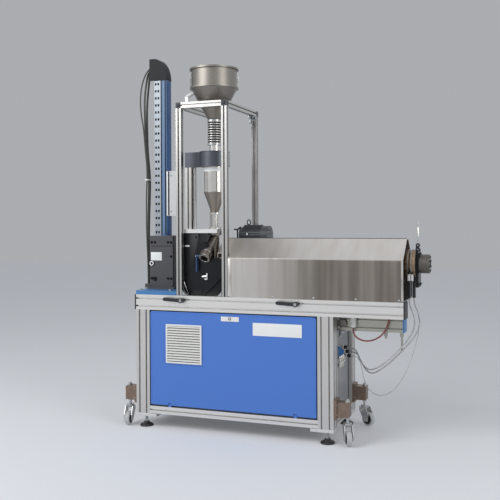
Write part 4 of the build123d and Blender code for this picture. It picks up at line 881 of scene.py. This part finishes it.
# Feed vessel
# A drawn stainless steel vessel with a long cone, electropolished. The cone is bead blasted, so it looks
# darker and browner than the cylinder, which has two weld beads and a bare white label band.
bright_steel = surface("electropolished stainless steel", bare_metal, "#D6D3CE", "#BDBAB5", 0.0012,
                       stretch=(1, 1, 22), depth=0.00002, polish=(0.12, 0.22))
dress(bright_steel, "feed_vessel", "pipe_collars")
blasted_steel = surface("bead blasted stainless steel", bare_metal, "#A39B92", "#7D766E", 0.0018,
                        depth=0.00008, polish=(0.34, 0.46))
vessel_radius = 0.0580
cone_bottom = 1.142
cone_run = 0.109
skin = 0.0006
cone = bmesh.new()
feed_ring(cone, cone_bottom, (
    (0, 0.0180 + skin), (cone_run - 0.001, vessel_radius + skin), (cone_run, vessel_radius + skin),
    (cone_run + 0.001, vessel_radius)))
piece("vessel_cone_skin", cone, blasted_steel, "polished")
beads = bmesh.new()
for bead_z in (1.3835, 1.3560):
    feed_ring(beads, bead_z, (
        (-0.0022, vessel_radius - 0.0005), (-0.0014, vessel_radius + 0.0016),
        (0.0014, vessel_radius + 0.0016), (0.0022, vessel_radius - 0.0005)))
piece("vessel_beads", beads, bright_steel, "polished")
label_wide = 0.0215
label = bmesh.new()
feed_ring(label, 1.3590, (
    (0, vessel_radius - 0.0005), (0, vessel_radius + skin), (label_wide, vessel_radius + skin),
    (label_wide, vessel_radius - 0.0005)))
piece("vessel_label_band", label, enamel, "white_plastic")

# Shelf
# A plate of milled aluminium carries the feed pipe, the slotted column and a ground guide rod. Four small cap
# screws hold the pipe's flange and four hold the plate.
milled = surface("milled aluminium", bare_metal, "#F2F1EF", "#DCDBD8", 0.0012, stretch=(30, 1, 1),
                 depth=0.00004, polish=(0.24, 0.36))
dress(milled, "shelf")
shelf_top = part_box("shelf")[1].z


def around(degrees, radius, height):
    """A point beside the feed axis: its bearing, from +X towards +Y, its radius and its height."""
    turn = math.radians(degrees)
    return feed_axis + Vector((math.cos(turn) * radius, math.sin(turn) * radius, height))


shelf_screws = bmesh.new()
for bearing in (45, 135, 225, 315):
    cap_screw(shelf_screws, around(bearing, 0.0265, shelf_top + 0.010), up, 0.0028)
    cap_screw(shelf_screws, around(bearing + 20, 0.050, shelf_top), up, 0.0035)
piece("shelf_screws", shelf_screws, zinc, "zinc")

# Gear case
# A grey iron casting in matt black enamel closes over the screw's gears. Its front cover has cut lower
# corners and a round notch beside the neck, with a bright rod along its left edge as a painted highlight and
# a dark seam at the right.
black_cast = surface("black enamel on cast iron", {"IOR": 1.5, "Specular IOR Level": 0.28}, "#17181C",
                     "#0B0C0F", 0.004, depth=0.0006, polish=(0.3, 0.44))
dress(black_cast, "gear_case")


def slab(shape, outline, near_y, far_y, rounding):
    """A plate of any outline in X and Z between two depths, the edges of its front rounded."""
    near = [shape.verts.new((x, near_y, z)) for x, z in outline]
    far = [shape.verts.new((x, far_y, z)) for x, z in outline]
    face = shape.faces.new(near)
    shape.faces.new(list(reversed(far)))
    for index in range(len(outline)):
        after = (index + 1) % len(outline)
        shape.faces.new((near[index], far[index], far[after], near[after]))
    bmesh.ops.bevel(shape, geom=list(face.edges), offset=rounding, segments=2, affect="EDGES", profile=0.5)


def rod_run(shape, points, radius):
    """Straight rods from point to point, closed at both ends."""
    for start, stop in zip(points, points[1:]):
        run = Vector(stop) - Vector(start)
        lathe(shape, start, run, ((0, 0), (0, radius), (run.length, radius), (run.length, 0)), 10)


case_low, case_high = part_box("gear_case")
case_bottom = case_low.z
case_neck = case_high.z
case_top = 0.897
shoulder_z = 0.981
case_left, case_right, cover_left, neck_right, shoulder_right, foot_left, foot_right = (
    place(x, 0, 0).x for x in (0.246, 0.520, 0.262, 0.352, 0.405, 0.290, 0.384))
case_front = place(0, 0.052, 0).y
case_back = place(0, 0.222, 0).y
cover_front = case_front - 0.012
notch_radius = 0.023
notch_arc = [(neck_right + notch_radius - math.cos(turn) * notch_radius,
              shoulder_z + notch_radius - math.sin(turn) * notch_radius)
             for turn in (math.radians(step) for step in range(0, 91, 15))]
cover = bmesh.new()
slab(cover, [
    (cover_left, case_neck), (neck_right, case_neck), *notch_arc, (shoulder_right, shoulder_z),
    (shoulder_right, case_top + 0.006), (case_right - 0.004, case_top + 0.006), (case_right - 0.004, 0.832),
    (foot_right, case_bottom + 0.004), (foot_left, case_bottom + 0.004), (foot_left, 0.722),
    (cover_left, 0.790)], cover_front, case_front, 0.003)
piece("gear_case_cover", cover, black_cast, "black_cast", instead_of="gear_case")
case_steps = [place(x, 0, 0).x for x in (0.334, 0.370)]
case_body = bmesh.new()
slab(case_body, [
    (case_left, case_neck), (case_steps[0], case_neck), (case_steps[0], shoulder_z),
    (case_steps[1], shoulder_z), (case_steps[1], case_top), (case_right, case_top), (case_right, case_bottom),
    (case_left, case_bottom)],
    case_front, case_back, 0.004)
piece("gear_case_body", case_body, black_cast, "black_cast", instead_of="gear_case")
# A bright rod along the cover's left edge is a painted highlight.
highlight_side = case_left + 0.0125
highlight_foot = foot_left - 0.0035
highlight_y = case_front - 0.009
edge_highlight = bmesh.new()
rod_run(edge_highlight, ((highlight_side, highlight_y, case_neck - 0.002), (highlight_side, highlight_y, 0.7885), (highlight_foot, highlight_y, 0.7205),
                   (highlight_foot, highlight_y, case_bottom + 0.004)), 0.0024)
piece("gear_case_edge_highlight", edge_highlight, milled, "polished")
seam_y = 0.0395
case_seam = bmesh.new()
rod_run(case_seam, [place(x, seam_y, z) for x, z in ((0.4780, 0.8780), (0.4780, 0.8000), (0.3860, 0.7130))],
        0.0013)
piece("gear_case_seam", case_seam, black_oxide, "black_cast")
plate("gear_case_plate", place(0.272, 0.0385, 0.962), place(0.298, 0.0400, 0.970), 0.0005, enamel,
      "white_plastic")
case_plug = bmesh.new()
lathe(case_plug, place(0.372, 0.036, 0.806), (1, 0, 0.15), (
    (0, 0), (0, 0.0055), (0.028, 0.0055), (0.030, 0.004), (0.030, 0)), 16)
box(case_plug, place(0.398, 0.030, 0.794), place(0.404, 0.039, 0.824), 0.0012)
box(case_plug, place(0.386, 0.032, 0.790), place(0.402, 0.038, 0.797), 0.0012)
piece("gear_case_plug", case_plug, milled, "polished")
case_screws = bmesh.new()
for screw_x, screw_z in ((0.272, 1.012), (0.336, 1.012), (0.272, 0.900), (0.272, 0.812), (0.300, 0.727),
                         (0.372, 0.727), (0.455, 0.800), (0.455, 0.886), (0.396, 0.965)):
    cap_screw(case_screws, place(screw_x, 0.040, screw_z), front, 0.0035)
piece("gear_case_screws", case_screws, black_oxide, "black_cast")

# Drain branch
# A cast stainless steel branch leads granules out to the front, with a ring nut that is turned and knurled.
# Its valve has a dark blue lever of coated steel.
cast_steel = surface("cast stainless steel", bare_metal, "#A09890", "#6D665F", 0.004, depth=0.0003,
                     polish=(0.28, 0.42))
dress(cast_steel, "drain_branch")
dark_blue = surface("dark blue coated steel", {"IOR": 1.5}, "#27456E", "#1C3555", 0.002, depth=0.0001,
                    polish=(0.3, 0.42))
dress(dark_blue, "branch_lever")
branch_start = place(0.402, 0.137, 1.022)
branch_end = place(0.394, 0.013, 0.902)
branch_along = (branch_end - branch_start).normalized()
branch_run = 0.1728
knurl_inner = 0.0285
knurl_outer = 0.0304
knurl_half = 0.0012
nut_bands = bmesh.new()
for back in (0.0375, 0.0345, 0.0060, 0.0030):
    lathe(nut_bands, branch_end - branch_along * back, branch_along, (
        (-knurl_half, knurl_inner), (-knurl_half, knurl_outer), (knurl_half, knurl_outer),
        (knurl_half, knurl_inner)), 36)
lathe(nut_bands, branch_end - branch_along * 0.0005, branch_along, (
    (0, 0.0290), (0.0010, 0.0280), (0.0010, 0.0215), (-0.0010, 0.0205)), 36)
piece("ring_nut_bands", nut_bands, bright_steel, "polished")
branch_collars = bmesh.new()
for share in (0.10, 0.55):
    lathe(branch_collars, branch_start + branch_along * branch_run * share, branch_along, (
        (-0.004, 0.0205), (-0.003, 0.0235), (0.003, 0.0235), (0.004, 0.0205)), 36)
piece("branch_collars", branch_collars, cast_steel, "steel")
lever_low, lever_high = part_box("branch_lever")
turned("lever_nut", (lever_low.x, (lever_low.y + lever_high.y) / 2, lever_high.z - 0.0075), left, (
    (0, 0.0075), (0.0035, 0.0070), (0.0045, 0.0055), (0.0045, 0)), zinc, "zinc", 6)

# Barrel hood and tray
# Stainless steel sheet of 2.5 mm, folded to a roof and brushed upright. Soft upright streaks of painted
# reflection lie over it, and the front is painted darker towards the die end as painted shade. Hems of the
# bare sheet close both ends, a dark bead along the ridge is painted shade, and five screws hold the front's
# foot.
sheet_steel, shader = new_material("brushed stainless sheet", {"Metallic": 1.0, "Anisotropic": 0.5})
brushed = grain(sheet_steel, shader, "#EDE9E4", "#D9D4CE", 0.0015, stretch=(1, 1, 90), depth=0.00003,
                polish=(0.26, 0.36))
bend_z = 0.906
fade_start = place(0.600, 0, 0).x
fade_end = place(1.060, 0, 0).x
where = add(sheet_steel, "ShaderNodeTexCoord").outputs["Object"]
# Soft upright streaks multiplied into the sheet's colour are painted reflection.
streak_space = add(sheet_steel, "ShaderNodeMapping", {"Scale": (24.0, 8.0, 1.2)}, {"Vector": where}).outputs[0]
streak_noise = add(sheet_steel, "ShaderNodeTexNoise", {"Scale": 1.0, "Detail": 1.5}, {"Vector": streak_space}).outputs[0]
streak_colour = add(sheet_steel, "ShaderNodeMix", {6: linear("#DAD6D1"), 7: linear("#FFFFFF")}, {0: streak_noise},
           data_type="RGBA").outputs[2]
streaked_brushing = add(sheet_steel, "ShaderNodeMix", {0: 0.75}, {6: brushed.outputs[2], 7: streak_colour}, data_type="RGBA",
              blend_type="MULTIPLY").outputs[2]
# Below the bend the front is painted darker towards the die end, so its left end looks lit: painted shade.
spot = add(sheet_steel, "ShaderNodeSeparateXYZ", {}, {"Vector": where})
to_die = add(sheet_steel, "ShaderNodeMapRange", {"From Min": fade_start, "From Max": fade_end},
             {"Value": spot.outputs["X"]}, interpolation_type="SMOOTHSTEP").outputs[0]
below_bend = add(sheet_steel, "ShaderNodeMapRange", {"From Min": bend_z + 0.002, "From Max": bend_z - 0.006},
                 {"Value": spot.outputs["Z"]}).outputs[0]
painted_shade_mask = add(sheet_steel, "ShaderNodeMath", {}, {0: to_die, 1: below_bend}, operation="MULTIPLY").outputs[0]
patch = add(sheet_steel, "ShaderNodeMapRange", {"From Min": 0.36, "From Max": 0.64}, {0: streak_noise}).outputs[0]
shade_colour = add(sheet_steel, "ShaderNodeMix", {6: linear("#9A958F"), 7: linear("#B7B2AC")}, {0: patch},
           data_type="RGBA").outputs[2]
shaded_sheet = add(sheet_steel, "ShaderNodeMix", {}, {0: painted_shade_mask, 6: streaked_brushing, 7: shade_colour}, data_type="RGBA",
           blend_type="MULTIPLY")
sheet_steel.node_tree.links.new(shaded_sheet.outputs[2], shader.inputs["Base Color"])
dress(sheet_steel, "barrel_hood")
dress(plain_steel, "barrel_tray")
hood_low, hood_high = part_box("barrel_hood")
hood_foot = 0.712
hood_edge = place(0.530, 0, 0).x
notch_edge = place(0.545, 0, 0).x
notch_top = bend_z - 0.003
hem_wide = 0.010
hem_proud = 0.0016
hood_hems = bmesh.new()
strips(hood_hems, hood_low.y - hem_proud, hood_low.y, 0.0006, (
    (hood_high.x - hem_wide, hood_high.x, hood_foot, bend_z),
    (notch_edge, notch_edge + hem_wide / 2, hood_foot, notch_top)))
piece("hood_hems", hood_hems, bright_steel, "sheet")
hood_folds = bmesh.new()
strips(hood_folds, hood_low.y - 0.0012, hood_low.y + 0.001, 0.0007, (
    (hood_edge, hood_high.x, bend_z - 0.0015, bend_z + 0.0015),))
strips(hood_folds, hood_low.y + 0.0002, hood_low.y + 0.0020, 0.0004, (
    (hood_edge, notch_edge + 0.001, hood_foot, notch_top),))
piece("hood_folds", hood_folds, sheet_steel, "sheet")
hood_points = frame["nodes"]["barrel_hood"].data.vertices
ridge = [vert.co.y for vert in hood_points if vert.co.z > hood_high.z - 0.0005]
ridge_y = sum(ridge) / len(ridge)
# A dark bead along the ridge is painted shade for the dark line there.
bead = bmesh.new()
rod_run(bead, [(x, ridge_y, hood_high.z) for x in (hood_low.x + 0.004, hood_high.x - 0.004)], 0.0030)
piece("hood_ridge_shade", bead, cube_cast, "sheet")
hood_screws = bmesh.new()
for share in (0.02, 0.26, 0.50, 0.74, 0.975):
    screw_x = notch_edge + share * (hood_high.x - notch_edge)
    lathe(hood_screws, (screw_x, hood_low.y, 0.716), front, (
        (0, 0.0052), (0.0012, 0.0050), (0.0026, 0.0035), (0.0030, 0)), 14)
piece("hood_screws", hood_screws, zinc, "zinc")

# Fittings under the tray
# The hose ends on two pipe nipples of nickel plated brass. A ribbed white sleeve covers the left one, and a
# round coupling of dull turned steel sits on the low beam beside it.
hose_y = 0.100
nipples_at = ((1.158, 0.566, 0.0110), (1.337, 0.650, 0.0080))
hose_nipples = bmesh.new()
for nipple_x, nipple_z, radius in nipples_at:
    lathe(hose_nipples, place(nipple_x, hose_y, nipple_z), up, (
        (0, 0.004), (0, radius), (0.003, radius + 0.0022), (0.013, radius + 0.0022), (0.015, radius + 0.0002),
        (0.015, radius * 0.9)), 6)
piece("hose_nipples", hose_nipples, nickel, "zinc")
rib_count = 7
rib_pitch = 0.0085
rib_outer = 0.0165
rib_inner = 0.0140
collar_bore = 0.0125
ribs = [(0, collar_bore)]
for index in range(rib_count):
    ribs += [(index * rib_pitch, rib_outer), ((index + 0.55) * rib_pitch, rib_outer),
             ((index + 0.6) * rib_pitch, rib_inner), ((index + 0.95) * rib_pitch, rib_inner)]
ribs.append((rib_count * rib_pitch, collar_bore))
turned("hose_collar", place(nipples_at[0][0], hose_y, nipples_at[0][1] + 0.005), up, ribs, white_abs,
       "white_plastic", 28)
dull_steel = surface("dull turned steel", bare_metal, "#8F8C87", "#6B6863", 0.002, depth=0.00005,
                     polish=(0.3, 0.42))
turned("beam_coupling", place(1.106, 0.120, 0.585), front, (
    (0, 0.0200), (0.012, 0.0200), (0.016, 0.0180), (0.016, 0.0130), (0.011, 0.0120), (0.011, 0)),
    dull_steel, "steel", 32)

# Barrel, heaters and adapter
# Alloy steel that has been heated and cooled many times: it is straw to brown in patches of a few
# centimetres. The heaters are banded in stainless steel that has taken the same tint.
tinted_steel = surface("heat tinted steel", bare_metal, "#B39A7C", "#6C5A4B", 0.014, depth=0.0002,
                       polish=(0.28, 0.45))
dress(tinted_steel, "barrel", "heater_bands", "barrel_adapter")

# Adapter fittings
# Two bands of machined tool steel clamp the adapter's heater, with a thin spacer ring at the die plate. Two
# glazed white ceramic terminals with black screws sit at its lower front.
tool_steel = surface("machined tool steel", bare_metal, "#A69E92", "#7A736A", 0.002, depth=0.00005,
                     polish=(0.22, 0.34))
adapter_low, adapter_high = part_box("barrel_adapter")
adapter_middle = (adapter_low + adapter_high) / 2
adapter_radius = (adapter_high.z - adapter_low.z) / 2
band_inner = adapter_radius - 0.003
bands = bmesh.new()
for start, wide, proud in ((0.006, 0.007, 0.0016), (0.022, 0.007, 0.0016), (0.0425, 0.0018, 0.0030)):
    band_outer = adapter_radius + proud
    lathe(bands, (adapter_low.x + start, adapter_middle.y, adapter_middle.z), right, (
        (0, band_inner), (0, band_outer), (wide, band_outer), (wide, band_inner)), 64)
piece("adapter_bands", bands, tool_steel, "steel")
terminal_wide = 0.0115
terminals = bmesh.new()
terminal_screws = bmesh.new()
for terminal_x in (adapter_low.x + 0.0060, adapter_low.x + 0.0215):
    box(terminals, (terminal_x, adapter_middle.y - 0.052, adapter_middle.z - 0.080),
        (terminal_x + terminal_wide, adapter_middle.y - 0.030, adapter_middle.z - 0.048), 0.0020)
    cap_screw(terminal_screws, (terminal_x + 0.0057, adapter_middle.y - 0.0565, adapter_middle.z - 0.040),
              (0, -1, -0.6), 0.0036)
piece("ceramic_terminals", terminals, enamel, "white_plastic")
piece("terminal_screws", terminal_screws, black_oxide, "black_cast")

# Die
# The die plate has a black oxide skin, and the turned ring in front of it is of blued steel. Black cap
# screws hold the plate and the ring, and a raised lip runs round the bore.
dress(black_oxide, "die_plate")
die_steel = surface("blued die steel", {"Metallic": 0.9}, "#76736D", "#55524E", 0.003, stretch=(1, 6, 6),
                    depth=0.00008, polish=(0.36, 0.5))
dress(die_steel, "die_ring")
ring_low, ring_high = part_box("die_ring")
ring_face = Vector((ring_high.x, (ring_low.y + ring_high.y) / 2, (ring_low.z + ring_high.z) / 2))
die_screw_count = 8
die_screw_circle = 0.0350
die_screws = bmesh.new()
for index in range(die_screw_count):
    turn = 2 * math.pi * (index + 0.5) / die_screw_count
    around_bore = Vector((-0.0005, math.cos(turn) * die_screw_circle, math.sin(turn) * die_screw_circle))
    cap_screw(die_screws, ring_face + around_bore, right, 0.0032)
piece("die_screws", die_screws, black_oxide, "black_cast")
turned("die_lip", ring_face, right, (
    (-0.012, 0.0188), (0.0008, 0.0188), (0.0014, 0.0200), (0.0014, 0.0245), (0, 0.0255)), die_steel, "steel",
    40)
plate_low, plate_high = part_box("die_plate")
screw_inset = 0.014
plate_screws = bmesh.new()
for screw_y in (plate_low.y + screw_inset, plate_high.y - screw_inset):
    for screw_z in (plate_low.z + screw_inset, plate_low.z + 0.160):
        cap_screw(plate_screws, (plate_high.x, screw_y, screw_z), right, 0.0048)
piece("die_plate_screws", plate_screws, black_oxide, "black_cast")

# Melt sensor
# A zinc plated rod stands on the die plate, with a turned steel sleeve round its upper half. Two black nylon
# knobs clamp it on, each with a bright screw.
dress(zinc, "melt_sensor")
sensor_low, sensor_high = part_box("melt_sensor")
sensor_x = (sensor_low.x + sensor_high.x) / 2
turned("sensor_sleeve", (sensor_x, (sensor_low.y + sensor_high.y) / 2, sensor_high.z - 0.074), up, (
    (0, 0.0020), (0.001, 0.0056), (0.044, 0.0040), (0.050, 0.0020)), bright_steel, "polished")
knobs = bmesh.new()
knob_screws = bmesh.new()
for knob_z, knob_radius in ((sensor_low.z + 0.022, 0.0105), (sensor_low.z + 0.001, 0.0120)):
    lathe(knobs, (sensor_x, sensor_low.y + 0.003, knob_z), front, (
        (0, knob_radius), (0.006, knob_radius), (0.008, knob_radius - 0.002), (0.008, 0)), 24)
    lathe(knob_screws, (sensor_x, sensor_low.y - 0.005, knob_z), front, (
        (0, 0.0035), (0.0016, 0.0032), (0.0016, 0)), 14)
piece("sensor_knobs", knobs, nylon, "black_plastic")
piece("sensor_knob_screws", knob_screws, zinc, "zinc")

# Cable plugs
# Black nylon heater plugs hang under the adapter, and round ones enter the side panel through flanges of
# nickel plated brass.
dress(nylon, "cable_plugs")
side_plugs = ((0.262, 0.440), (0.300, 0.412), (0.338, 0.384))
flange_bore = 0.0090
plug_flanges = bmesh.new()
for plug_y, plug_z in side_plugs:
    lathe(plug_flanges, place(1.0622, plug_y, plug_z), right, (
        (0, flange_bore), (0, 0.0125), (0.002, 0.0130), (0.007, 0.0130), (0.009, 0.0115),
        (0.009, flange_bore)), 20)
piece("plug_flanges", plug_flanges, nickel, "polished")

# Motor
# A finned motor in dark grey enamel lies behind the hood on a cast bracket. It has a lifting eye, a bent wire
# guard at its left end, black slats over its fan and a bare round plate.
motor_enamel = surface("dark grey motor enamel", {"IOR": 1.5}, "#55575B", "#414347", 0.003, depth=0.0003,
                       polish=(0.34, 0.48))
dress(motor_enamel, "motor")
dress(grey_cast, "motor_bracket")
motor_low, motor_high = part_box("motor")
eye_middle = place(0.516, 0.349, 1.089)
eye_sides = 20
eye_points = []
for index in range(eye_sides):
    turn = 2 * math.pi * index / eye_sides
    eye_points.append(eye_middle + Vector((math.cos(turn) * 0.0105, 0, math.sin(turn) * 0.0130)))
eye = bmesh.new()
for near, far in zip(eye_points, eye_points[1:] + eye_points[:1]):
    run = far - near
    lathe(eye, near, run, ((-0.0008, 0.0030), (run.length + 0.0008, 0.0030)), 8)
lathe(eye, place(0.516, 0.349, 1.0730), up, ((0, 0.0085), (0.004, 0.0085), (0.006, 0.0050), (0.006, 0)), 14)
piece("motor_eye", eye, black_oxide, "black_cast")
guard_y = 0.320
guard = bmesh.new()
rod_run(guard, (place(0.459, guard_y, 1.050), place(0.459, guard_y, 1.004)), 0.0040)
rod_run(guard, (place(0.478, guard_y, 1.064), place(0.462, guard_y, 1.050), place(0.440, guard_y, 1.050),
                place(0.440, guard_y, 1.053)), 0.0042)
piece("motor_guard", guard, black_oxide, "black_cast")
shroud_middle = motor_high.z - 0.060
shroud = bmesh.new()
for rise in (-0.030, -0.010, 0.010, 0.030):
    box(shroud, (motor_high.x - 0.001, motor_low.y + 0.020, shroud_middle + rise - 0.002),
        (motor_high.x + 0.0015, motor_high.y - 0.020, shroud_middle + rise + 0.002), 0.0006)
piece("motor_shroud_slats", shroud, black_oxide, "black_cast")
turned("motor_plate", place(0.526, 0.2925, 1.0250), front, ((0, 0.0060), (0.0015, 0.0055), (0.0015, 0)),
       enamel, "white_plastic")

# Clamp levers
# Two black nylon levers with zinc plated screws clamp the front beam's slot. Each has a round hub and a flat
# even arm.
dress(nylon, "clamp_levers")
lever_z = 0.683
clamp_screws = bmesh.new()
for hub_x in (0.273, 0.897):
    cap_screw(clamp_screws, place(hub_x, -0.0260, lever_z), front, 0.0052)
    lathe(clamp_screws, place(hub_x + 0.024, 0, lever_z), front, (
        (0, 0.0060), (0.0020, 0.0060), (0.0030, 0.0048), (0.0030, 0)), 16)
piece("clamp_screws", clamp_screws, zinc, "zinc")

# Lift cables
# Three rubber sheathed motor cables leave the hood on top of the lift column, arch over and hang beside the
# rail to the gland at its foot. The sheath is neoprene: matt, nearly black, with a talc bloom in patches a
# few centimetres long.
sheath = surface("neoprene cable sheath", {"IOR": 1.52}, "#5C5D54", "#34352F", 0.02, stretch=(1, 1, 3),
                 depth=0.0003, polish=(0.42, 0.62))


def hang(name, route, diameter, material):
    """A free cord along its route: a smooth line whose control points are the route's points."""
    line = bpy.data.curves.new(name + "_line", "CURVE")
    line.dimensions = "3D"
    line.bevel_depth = diameter / 2
    line.bevel_resolution = 4
    line.resolution_u = 6
    line.use_fill_caps = True
    spline = line.splines.new("NURBS")
    spline.points.add(len(route) - 1)
    for control, point in zip(spline.points, route):
        control.co = (*place(*point), 1.0)
    spline.order_u = 3
    spline.use_endpoint_u = True
    line.materials.append(material)
    thing = bpy.data.objects.new(name + "_dressed", line)
    scene.collection.objects.link(thing)
    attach(thing, "machine")
    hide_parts(name)


hang("lift_cable_1", (
    (0.098, 0.148, 1.870), (0.098, 0.148, 1.930), (0.046, 0.148, 1.960), (-0.006, 0.147, 1.930),
    (-0.036, 0.141, 1.857), (-0.043, 0.135, 1.769), (-0.038, 0.134, 1.690), (-0.022, 0.134, 1.612),
    (-0.013, 0.134, 1.495), (0.000, 0.134, 1.378), (-0.006, 0.134, 1.262), (-0.007, 0.133, 1.145),
    (-0.005, 0.132, 1.028), (0.001, 0.131, 0.912), (0.004, 0.131, 0.820), (0.004, 0.131, 0.754)),
    0.008, sheath)
hang("lift_cable_2", (
    (0.098, 0.165, 1.870), (0.098, 0.165, 1.930), (0.046, 0.165, 1.960), (-0.006, 0.164, 1.930),
    (-0.019, 0.158, 1.850), (-0.025, 0.151, 1.770), (-0.023, 0.150, 1.690), (-0.020, 0.150, 1.600),
    (-0.014, 0.150, 1.480), (0.002, 0.150, 1.337), (-0.001, 0.150, 1.215), (-0.005, 0.150, 1.090),
    (-0.004, 0.149, 0.965), (0.000, 0.148, 0.850), (0.000, 0.148, 0.754)),
    0.011, sheath)
hang("lift_cable_3", (
    (0.098, 0.182, 1.870), (0.098, 0.182, 1.930), (0.046, 0.182, 1.960), (-0.006, 0.181, 1.930),
    (-0.010, 0.175, 1.850), (-0.016, 0.168, 1.770), (-0.018, 0.166, 1.690), (-0.017, 0.166, 1.600),
    (-0.014, 0.166, 1.480), (0.001, 0.166, 1.337), (-0.003, 0.166, 1.215), (-0.008, 0.166, 1.090),
    (-0.009, 0.166, 0.965), (-0.004, 0.166, 0.850), (-0.004, 0.166, 0.754)),
    0.011, sheath)

# Cable tie
# A white nylon tie holds the three lift cables together beside the rail, with its square head in front.
tie = bmesh.new()
box(tie, place(-0.0125, 0.1255, 1.3225), place(0.0105, 0.1755, 1.3295), 0.003)
box(tie, place(-0.0040, 0.1215, 1.3215), place(0.0040, 0.1265, 1.3305), 0.001)
piece("cable_tie", tie, white_abs, "white_plastic")

# Die cables
# Two heater and sensor leads and a thin wire run in free bows from under the die to the side panel. Each is
# a glass fibre and steel wire braid over its cores, pale grey with dark gaps. The gaps are under half a
# millimetre wide, too fine to show, so they are drawn as 3.5 mm.
braid = surface("steel wire braid", {"Metallic": 0.25}, "#F0F1F2", "#4C4F54", 0.0035, depth=0.0006,
                polish=(0.3, 0.55), detail=1.0)
hang("die_cable_1", (
    (1.428, 0.137, 0.718), (1.428, 0.137, 0.685), (1.448, 0.134, 0.645), (1.457, 0.131, 0.600),
    (1.448, 0.130, 0.556), (1.418, 0.132, 0.508), (1.374, 0.136, 0.456), (1.322, 0.142, 0.405),
    (1.272, 0.151, 0.366), (1.228, 0.168, 0.346), (1.190, 0.194, 0.360), (1.158, 0.226, 0.398),
    (1.132, 0.262, 0.440), (1.090, 0.262, 0.440)),
    0.007, braid)
hang("die_cable_2", (
    (1.452, 0.137, 0.720), (1.452, 0.137, 0.688), (1.473, 0.137, 0.648), (1.480, 0.138, 0.600),
    (1.469, 0.140, 0.554), (1.436, 0.142, 0.506), (1.390, 0.146, 0.454), (1.336, 0.152, 0.398),
    (1.280, 0.162, 0.352), (1.234, 0.182, 0.326), (1.194, 0.218, 0.338), (1.160, 0.262, 0.376),
    (1.132, 0.300, 0.412), (1.090, 0.300, 0.412)),
    0.007, braid)
hang("die_wire", (
    (1.452, 0.149, 0.720), (1.452, 0.149, 0.690), (1.467, 0.150, 0.650), (1.474, 0.151, 0.600),
    (1.471, 0.152, 0.550), (1.459, 0.154, 0.502), (1.445, 0.157, 0.452), (1.428, 0.161, 0.402),
    (1.407, 0.168, 0.352), (1.380, 0.178, 0.302), (1.347, 0.190, 0.256), (1.309, 0.203, 0.226),
    (1.267, 0.219, 0.211), (1.226, 0.236, 0.217), (1.192, 0.258, 0.242), (1.170, 0.284, 0.280),
    (1.156, 0.308, 0.322), (1.142, 0.327, 0.362), (1.120, 0.338, 0.384), (1.090, 0.338, 0.384)),
    0.003, braid)

# Water hose
# A short cooling water loop of reddish silicone hose hangs between two fittings under the barrel tray.
# Silicone is soft and slightly clear, so light bleeds a little way into it.
silicone = surface("red silicone hose", {
    "Roughness": 0.38, "IOR": 1.41, "Subsurface Weight": 0.25, "Subsurface Scale": 0.003}, "#A05F57",
    "#6E3A35", 0.008, depth=0.0001)
hang("water_hose", (
    (1.158, 0.100, 0.566), (1.158, 0.100, 0.537), (1.181, 0.100, 0.512), (1.218, 0.100, 0.501),
    (1.260, 0.100, 0.508), (1.299, 0.100, 0.532), (1.326, 0.100, 0.570), (1.337, 0.100, 0.615),
    (1.337, 0.100, 0.650)),
    0.008, silicone)
